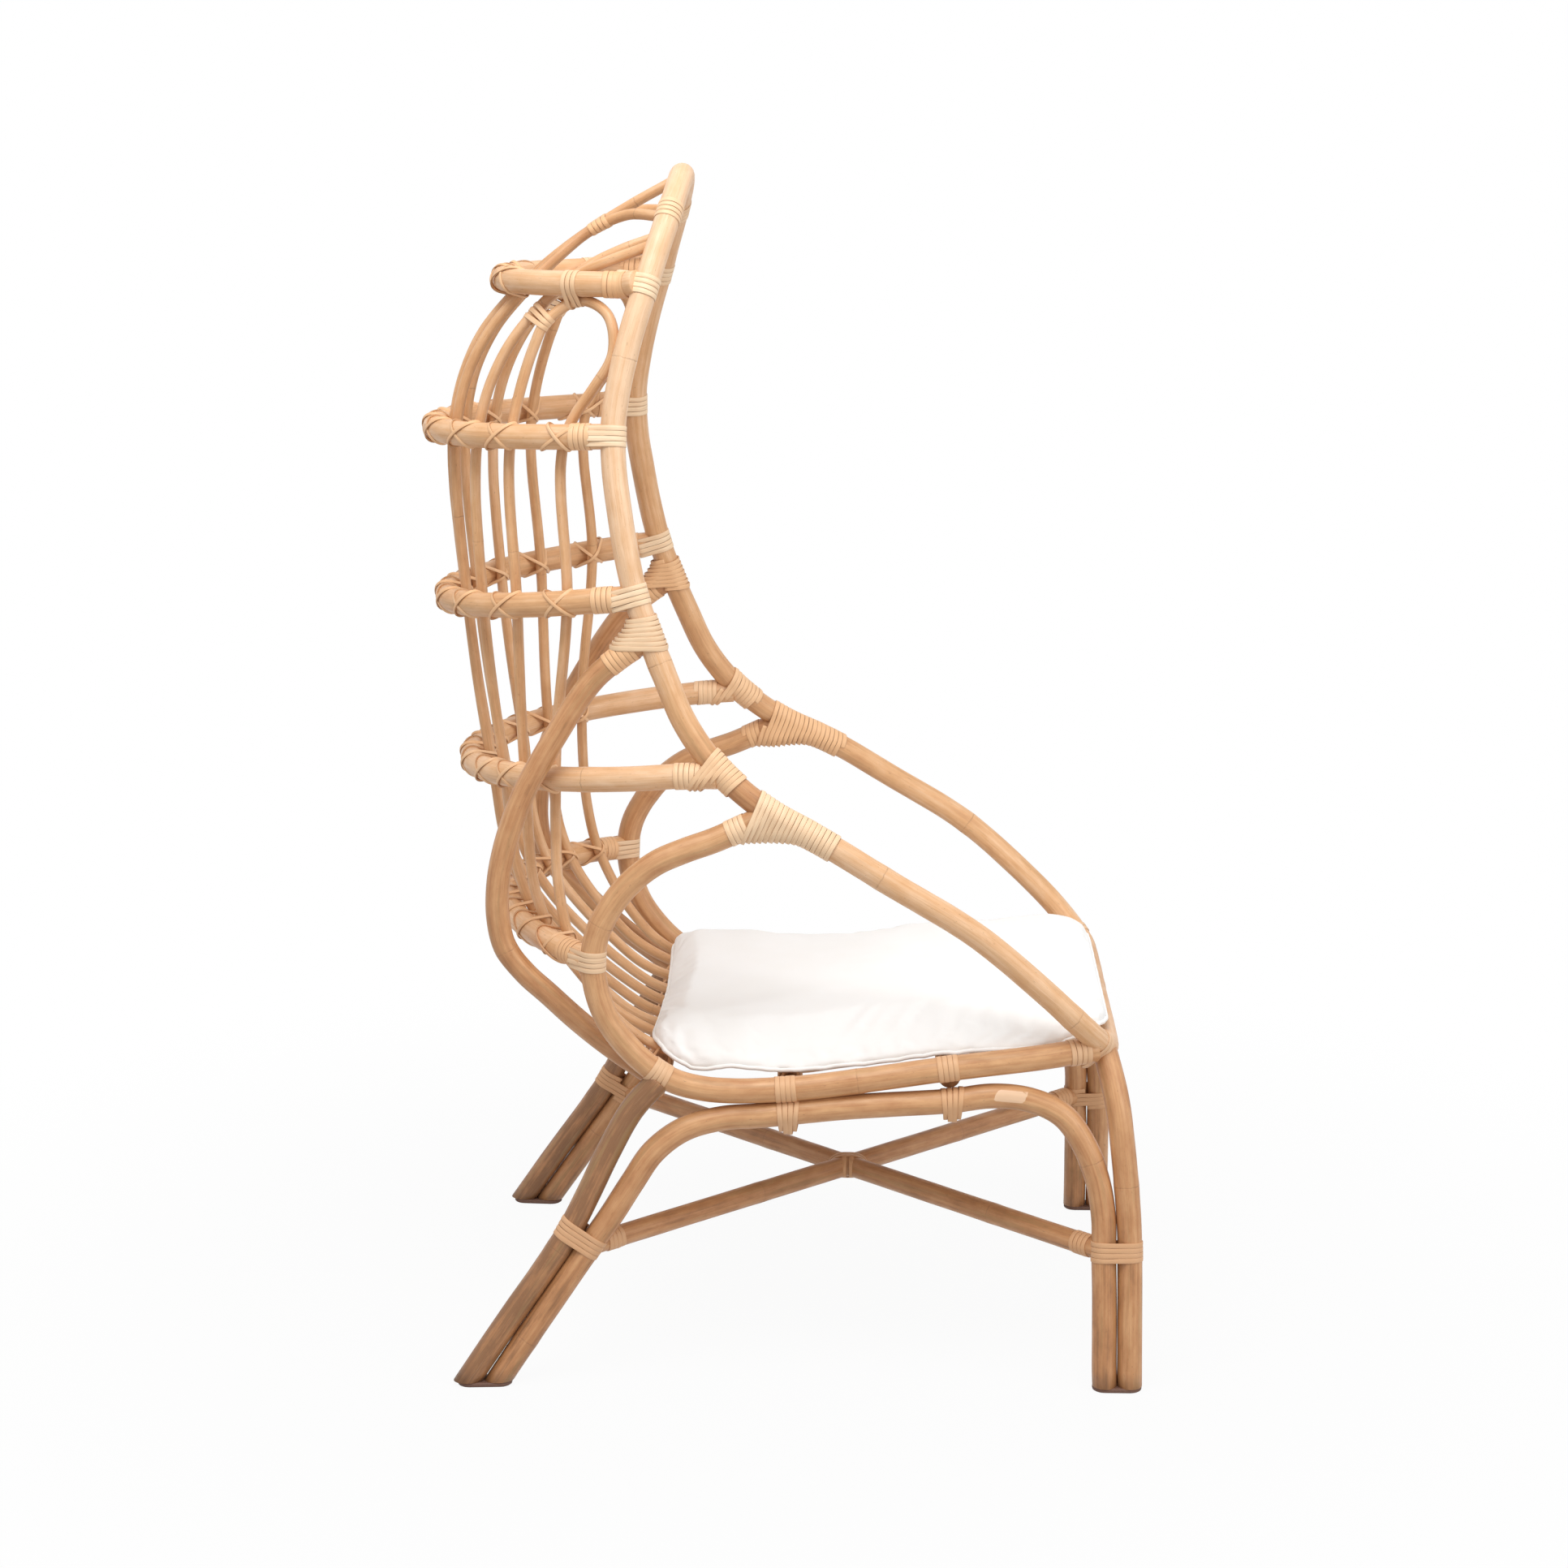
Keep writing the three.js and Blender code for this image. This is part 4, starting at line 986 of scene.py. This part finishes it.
def rubber_material():
    """Dark brown foot pads, scuffed at their rims."""
    g = Graph(bpy.data.materials.new("pad_rubber"))
    place = g("TexCoord").outputs["Object"]
    scuff = g.noise(place, (240, 240, 240), 4, 0.7)
    colour = g.ramp(scuff, (0.3, (0.11, 0.052, 0.035)), (0.8, (0.21, 0.11, 0.075)))
    rough = g.level(scuff, 0.3, 0.7, 0.5, 0.8, False)
    return g.surface({"Base Color": colour, "Roughness": rough, "Normal": g.bump(scuff, 0.3, 0.0006)})


# Poles and their bindings

def pixel_ray(x, y):
    """Way from the camera through a pixel of the photograph."""
    toward = Vector(((x - IMAGE / 2) / FOCAL, (IMAGE / 2 - y) / FOCAL, -1.0))
    toward.rotate(Euler([math.radians(a) for a in CAMERA_TURN]))
    return np.array(toward.normalized())


def mark(rod, x, y):
    """Point of a rod's centreline, on the near side, that a pixel of the photograph shows."""
    near = rod.points[rod.points[:, 0] < 0.02]
    off = near - np.array(CAMERA_AT)
    return near[np.argmin(np.linalg.norm(np.cross(off, pixel_ray(x, y)), axis=1))]


rattan = rattan_material()
peel = peel_material()
soft_parts = ("binding", "foot_pad", "seat_cushion")
rods = {n: rod_of(n) for n in sorted(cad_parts) if not any(k in n for k in soft_parts)}
for side_name, _ in SIDES:
    rods["front_leg_" + side_name] = leaned_in(rods["front_leg_" + side_name], rods["arm_bow"])
    rods["leg_hoop_" + side_name] = hung(rods["leg_hoop_" + side_name])
near_hoop = rods["leg_hoop_right"]
shaved_at = mark(near_hoop, 1247, 1346)
shaved_at = shaved_at + unit(np.array(CAMERA_AT) - shaved_at) * near_hoop.radius
for number, (node, rod) in enumerate(rods.items()):
    pole(node + "_cane", rod, 100 + number, rattan, [node], shaved_at if rod is near_hoop else None)


hoop = rods["back_hoop"]
bow = rods["arm_bow"]
near_loop = rods["seat_loop_right"]
near_spindle = rods["spindle_loop_right"]
BAND_4 = mark(hoop, 880, 940)  # first turn of the slanting band on ring 4's end
HOOP_WRAP = mark(hoop, 822, 263)  # where the inner spindles end
SEAT_REAR = mark(near_loop, 811, 1321)
SEAT_FRONT = mark(near_loop, 1331, 1301)
LOOP_TOP = mark(near_spindle, 708, 362)  # the spindle loop under the top ring
LOOP_SHOULDER = mark(near_spindle, 664, 390)

for side_name, side in SIDES:
    out = np.array([side, 0.0, 0.0])
    loop = rods["seat_loop_" + side_name]
    leg_hoop = rods["leg_hoop_" + side_name]
    brace = rods["rear_brace_" + side_name]
    spindle = rods["spindle_loop_" + side_name]

    # Rings of the back: turns round the ring's end, then straps or a slanting band round the post
    for number in range(1, 6):
        ring = rods[f"back_ring_{number}"]
        strips = Strips(number * 7 + side, RING_TONES.get(number, TAN))
        tip = ring.end(lambda p: p[0] * side)
        end, inward = ring.end_by(tip)
        if number == 4:
            end_turns(strips, ring, end + inward * 0.012, inward, 5, -out)
            first = hoop.nearest(mirrored(BAND_4, side))
            down, way = downward(hoop, first)
            lean = unit(down + np.array([0.0, -0.34, 0.0]))
            planes = leaning_planes(hoop, first - way * 0.007, 8, lean, down, way * 0.0059)
            strips.tones = TAN
            wind(strips, planes, [hoop, ring], -out, PEEL_T)
        else:
            held, inward = straps(strips, hoop if number < 5 else loop, ring, tip)
            early = 1 if number == 1 else 0
            end_turns(strips, ring, held - early * inward * PITCH, inward, 4 + early, -out)
        strips.piece(f"ring_{number}_{side_name}_peel", peel, [f"ring_binding_{number}_{side_name}"])

    # Brace: turns down the brace under a band round the hoop and the brace, over the wedge between them
    strips = Strips(60 + side, BROWN)
    tip = brace.end(height)
    end, inward = brace.end_by(tip)
    end_turns(strips, brace, end + inward * 0.008, inward, 6, -out)
    s = hoop.nearest(tip)
    down, way = downward(hoop, s)
    rear = brace.at(end + inward * 0.02) - hoop.at(s)
    rear = unit(rear - (rear @ down) * down)
    wedge = bent([hoop.at(s - way * 0.04), hoop.at(s - way * 0.02) + rear * 0.008,
                  hoop.at(s - way * 0.003) + rear * 0.03, brace.at(end + inward * 0.02) + rear * 0.008,
                  brace.at(end + inward * 0.045) + rear * 0.003], brace.radius)
    planes = leaning_planes(hoop, s - way * 0.029, 7, unit(down - UP), -UP, way * 0.0058)
    strips.tones = PALE if side < 0 else TAN
    wind(strips, planes, [hoop, wedge], -out, PEEL_T)
    strips.piece(f"brace_{side_name}_peel", peel, ["brace_binding_" + side_name])

    # Arm: turns at the end of the seat loop, then a band over the fork and on along the arm
    # The left arm's band, on the far side, takes darker tones than the right: painted shade
    strips = Strips(70 + side, (0.1, 0.5) if side < 0 else (0.9, 1.2))
    foot = hoop.end(lambda p: p[0] * side)
    arm = joined(hoop, bow, foot)
    meet = arm.nearest(foot)
    tip = loop.end(height)
    end, inward = loop.end_by(tip)
    end_turns(strips, loop, end + inward * 0.016, inward, 4, -out)
    ahead = arm.heading(meet - 0.04)
    under = unit(-UP + (UP @ ahead) * ahead)
    onto_arm = ((-0.055, 0.023), (-0.035, 0.011), (-0.012, 0.002), (0.01, 0.0))
    tail = bent([loop.at(end + inward * 0.06), loop.at(end + inward * 0.03),
                 *(arm.at(meet + on) + under * drop for on, drop in onto_arm)], loop.radius)
    lean = np.array([0.0, -0.918, -0.396])
    planes = leaning_planes(arm, meet - 0.074, 17, lean, arm.heading(meet + 0.03))
    wind(strips, planes, [arm, loop, tail], -out, PEEL_T)
    strips.piece(f"arm_{side_name}_peel", peel, ["arm_binding_" + side_name])

    # Legs: round the two poles of each leg
    for place in ("front", "rear"):
        node = f"leg_binding_{place}_{side_name}"
        strips = Strips(80 + side)
        start, turns = spread_of(node, leg_hoop)
        leg = rods[f"{place}_leg_{side_name}"]
        wind(strips, square_planes(leg_hoop, start, turns), [leg_hoop, leg], -out)
        strips.piece(f"leg_{place}_{side_name}_peel", peel, [node])

    # Side rails: round the rail, and round the leg hoop with a short peg under it
    for number in (1, 2):
        node = f"rail_binding_{number}_{side_name}"
        strips = Strips(90 + number * 3 + side)
        start, turns = spread_of(node, leg_hoop)
        centre = start + turns * PITCH / 2
        middle = leg_hoop.at(centre)
        wrap(strips, loop, middle, 4, [], -out)
        belly = bent([leg_hoop.at(centre + k * PITCH) - UP * PEG_DROP * drop for k, drop in BELLY], PEG_R)
        level = unit(leg_hoop.heading(centre) * (1, 1, 0))
        planes = leaning_planes(leg_hoop, centre - 2 * PITCH, 4, level + 0.12 * UP, level - 0.12 * UP)
        wind(strips, planes, [leg_hoop, belly], -out)
        strips.piece(f"rail_{number}_{side_name}_peel", peel, [node])
        peg = np.array([middle - UP * PEG_DROP - out * 0.003, middle - UP * PEG_DROP - out * 0.05])
        pole(f"rail_{number}_{side_name}_peg", Rod(resample(peg, LINE_STEP), PEG_R), 150 + number, rattan, [])

    # Corners of the seat, and the top of the back
    strips = Strips(110 + side, (0.3, 0.7))
    wrap(strips, loop, mirrored(SEAT_REAR, side), 4, [], -out)
    wrap(strips, loop, mirrored(SEAT_FRONT, side), 4, [], -out)
    straps(strips, bow, loop, loop.end(lambda p: -p[2]), 2)
    wrap(strips, hoop, mirrored(HOOP_WRAP, side), 4, [], -out)
    ring = rods["back_ring_1"]
    wrap(strips, ring, mirrored(LOOP_TOP, side), 3, [spindle], -out)
    wrap(strips, spindle, mirrored(LOOP_SHOULDER, side), 3, [rods["spindle_middle_" + side_name]], -out)
    strips.piece(f"corner_{side_name}_peel", peel)

# The gathered spindles, the stretchers' ends and their crossing
strips = Strips(130, BROWN)
inner = [rods["spindle_inner_" + name] for name, _ in SIDES]
GATHER = mark(rods["spindle_centre"], 738, 276)
wrap(strips, rods["spindle_centre"], GATHER, 4, inner, np.array([0.0, -1.0, -0.5]))
strips.piece("gather_peel", peel)
strips = Strips(131)
for name in ("stretcher_1", "stretcher_2"):
    rod = rods[name]
    for end, inward in ((0.0, 1), (rod.length, -1)):
        end_turns(strips, rod, end + inward * 0.005, inward, 4, -UP)
lash(strips, rods["stretcher_1"], rods["stretcher_2"], (34, 46), (-PITCH, 0.0, PITCH), PEEL_W, PEEL_T)
strips.piece("stretcher_peel", peel)

# Thin lashings wherever a spindle crosses a ring or a bar of the seat
spindles = [n for n in rods if n.startswith("spindle")]
bars = ["rear_seat_rail", "seat_crossbar_1", "seat_crossbar_2"]
for number, place in enumerate([*(f"back_ring_{k}" for k in range(1, 6)), *bars]):
    strips = Strips(140 + number, (0.7, 1.2))
    for name in spindles:
        lash(strips, rods[name], rods[place], (46, 54))
    strips.piece(place + "_lashings", peel)


# Foot pads

def foot_pad(node, material):
    """A stadium-shaped pad with soft rims."""
    low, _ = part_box(node)
    corners = corners_of(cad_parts[node])
    outline = even_hull(corners[:, :2], LINE_STEP)
    outs = outward(round_ahead(outline))
    rows = [np.c_[outline - outs * inset, np.full(len(outline), low.z + rise)] for inset, rise in PAD_RIM]
    piece = mesh_piece(node + "_rubber", np.concatenate(rows), grid_faces(len(rows), len(outline)))
    return finish_piece(piece, "frame", material, [node])


rubber = rubber_material()
for node in sorted(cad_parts):
    if node.startswith("foot_pad"):
        foot_pad(node, rubber)


# Cushion

def bake(piece):
    """Makes what the modifiers show the piece's own mesh."""
    bpy.context.view_layer.update()
    graph = bpy.context.evaluated_depsgraph_get()
    mesh = bpy.data.meshes.new_from_object(piece.evaluated_get(graph))
    piece.modifiers.clear()
    piece.data = mesh


def sunk(points):
    """Cushion points let down on the slats at the rear, where the corners hang past the outer slats."""
    points = np.array(points)
    x, y = np.abs(points[:, 0]), points[:, 1]
    edge = ease(x, SLAT_EDGE, CUSHION_EDGE)
    rear = ease(y, *REAR_SINK_Y)
    points[:, 2] += ease(x, EDGE_RISE_X, CUSHION_EDGE) * ease(-y, *EDGE_RISE_Y) * EDGE_RISE
    points[:, 2] -= rear * (REAR_SINK + edge * CORNER_DROOP)
    points[:, 2] -= mound(y, edge * SIDE_SAG, *SIDE_SAG_AT)
    points[:, 1] -= REAR_DRAW * ease(y, *REAR_DRAW_Y) * (1 - (x / CUSHION_EDGE) ** 2)
    return points


def cushion_seam(corners):
    """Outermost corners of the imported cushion, in order round it."""
    middle = (corners.min(axis=0) + corners.max(axis=0)) / 2
    angle = np.arctan2(corners[:, 1] - middle[1], corners[:, 0])
    reach = np.linalg.norm(corners[:, :2] - middle[:2], axis=1)
    order = np.argsort(angle)
    order = order[reach[order] > 0.1]
    groups = np.split(order, np.flatnonzero(np.diff(angle[order]) > 0.02) + 1)
    return np.array([corners[group[reach[group].argmax()]] for group in groups])


def cushion_blank(corners):
    """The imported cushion, let down, rounded and evenly meshed."""
    piece = linked("seat_cushion_pad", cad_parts["seat_cushion"].data.copy())
    piece.data.vertices.foreach_set("co", sunk(corners).ravel())
    clean = bmesh.new()
    clean.from_mesh(piece.data)
    bmesh.ops.remove_doubles(clean, verts=clean.verts, dist=WELD)
    clean.to_mesh(piece.data)
    clean.free()
    piece.data.materials.clear()
    piece.modifiers.new("round", "SUBSURF").levels = 2
    bake(piece)
    remesh = piece.modifiers.new("even", "REMESH")
    remesh.mode = "VOXEL"
    remesh.voxel_size = PAD_CELL
    bake(piece)
    return piece


def puff_up(piece, near):
    """Fills the cushion by a cloth simulation with pressure inside, held along the seam."""
    held = piece.vertex_groups.new(name="held")
    for i in np.flatnonzero(near < SEAM_HOLD):
        held.add([int(i)], 1.0, "REPLACE")
    cloth = piece.modifiers.new("cloth", "CLOTH").settings
    cloth.use_pressure = True
    cloth.uniform_pressure_force = PRESSURE
    cloth.effector_weights.gravity = 0.0
    cloth.vertex_group_mass = "held"
    cloth.shrink_min = SHRINK
    for number in range(1, LAST_FRAME + 1):
        bpy.context.scene.frame_set(number)
    bake(piece)
    bpy.context.scene.frame_set(1)


def cushion(material):
    """The cushion's pad, and the line of its seam."""
    corners = corners_of(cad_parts["seat_cushion"])
    piece = cushion_blank(corners)
    rest = corners_of(piece)
    line = catmull(sunk(cushion_seam(corners)), SEAM_STEP, closed=True)
    gaps = np.linalg.norm(rest[:, None, :] - line[None, :, :], axis=2)
    near = gaps.min(axis=1)
    puff_up(piece, near)
    moved = corners_of(piece)
    normals = np.array([v.normal for v in piece.data.vertices])
    step = moved - rest
    length = np.linalg.norm(step, axis=1)
    cap = np.where(normals[:, 2] < UNDERSIDE, MOST_PUFF_UNDER, MOST_PUFF)
    moved = rest + step * np.minimum(1, cap / np.maximum(length, 1e-9))[:, None]
    # Puckers that run in from the seam, deepest at the corners
    along = gaps.argmin(axis=1) * SEAM_STEP
    at_corner = ease(np.abs(rest[:, 0]), *CORNER_X) * ease(np.abs(rest[:, 1] - PAD_MIDDLE), *CORNER_Y)
    fold = ripple(np.random.default_rng(5), along, PUCKER_WAVES)
    shown = normals[:, 2] > UNDERSIDE
    depth = fold * (PUCKER * (0.3 + at_corner)) * np.exp(-near / PUCKER_REACH) * shown
    moved += normals * depth[:, None]
    crown = mound(rest[:, 1], CROWN * ease(near, 0, CROWN_EDGE), *CROWN_AT)
    moved[:, 2] += crown * ease(normals[:, 2], 0, 0.5)
    piece.data.vertices.foreach_set("co", moved.ravel())
    piece.modifiers.new("fine", "SUBSURF").levels = 1
    bake(piece)
    piece.data.shade_smooth()
    finish_piece(piece, "cushion", material, ["seat_cushion"])
    return piece, line


canvas = cloth_material()
pad, seam_line = cushion(canvas)

tree = BVHTree.FromPolygons([v.co for v in pad.data.vertices], [p.vertices for p in pad.data.polygons])
hits = [tree.find_nearest(Vector(p)) for p in seam_line]
piping_line = np.array([hit[0] + hit[1] * PIPING_LIFT for hit in hits])
ahead, _, _ = frames(piping_line, closed=True)
across = units(np.cross(ahead, UP))
skin = tube(piping_line, PIPING_R, across, np.cross(across, ahead), PIPING_SIDES)
piping_faces = grid_faces(len(piping_line), PIPING_SIDES, closed=True)
piping = mesh_piece("seat_cushion_piping", skin.reshape(-1, 3), piping_faces)
finish_piece(piping, "cushion", canvas)


# Studio

def floor_material():
    """White paper that shows the shadow near the chair and runs out to plain white."""
    g = Graph(bpy.data.materials.new("floor_paper"))
    place = g("NewGeometry").outputs["Position"]
    away = g("VectorMath", {0: place}, operation="LENGTH").outputs["Value"]
    plain = g("Emission", {"Color": (1, 1, 1, 1), "Strength": 1.0})
    paper = g("BsdfDiffuse", {"Color": (0.6, 0.6, 0.6, 1)})
    share = g.math("MULTIPLY", g.level(away, 0.5, 1.6, 0.94, 1.0), g.seen())
    mixed = g("MixShader", {0: share, 1: paper.outputs[0], 2: plain.outputs[0]})
    g("OutputMaterial", {"Surface": mixed.outputs[0]})
    return g.owner


floor_corners = [(x * FLOOR_HALF, y * FLOOR_HALF, FLOOR_Z) for x, y in ((-1, -1), (1, -1), (1, 1), (-1, 1))]
floor = mesh_piece("floor", floor_corners, [(0, 1, 2, 3)])
floor.data.materials.append(floor_material())

sky = Graph(bpy.data.worlds.new("studio"))
bpy.context.scene.world = sky.owner
strength = sky.level(sky.seen(), 0, 1, AMBIENT, 1.0, False)
white = sky("Background", {"Color": (1, 1, 1, 1), "Strength": strength})
sky("OutputWorld", {"Surface": white.outputs[0]})


def lamp(name, place, size, watts):
    light = bpy.data.lights.new(name, "AREA")
    light.size = size
    light.energy = watts
    made = linked(name, light)
    made.location = place
    made.rotation_euler = (Vector(LIT_POINT) - Vector(place)).to_track_quat("-Z", "Y").to_euler()


lamp("key", (-1.3, 0.4, 3.7), 2.0, 72)
lamp("fill", (-2.2, -3.0, 2.2), 2.2, 40)

lens = bpy.data.cameras.new("camera")
lens.sensor_width = SENSOR
lens.lens = SENSOR * FOCAL / IMAGE
camera = linked("camera", lens)
camera.location = CAMERA_AT
camera.rotation_euler = [math.radians(a) for a in CAMERA_TURN]
bpy.context.scene.camera = camera
bpy.context.scene.view_settings.view_transform = "Standard"
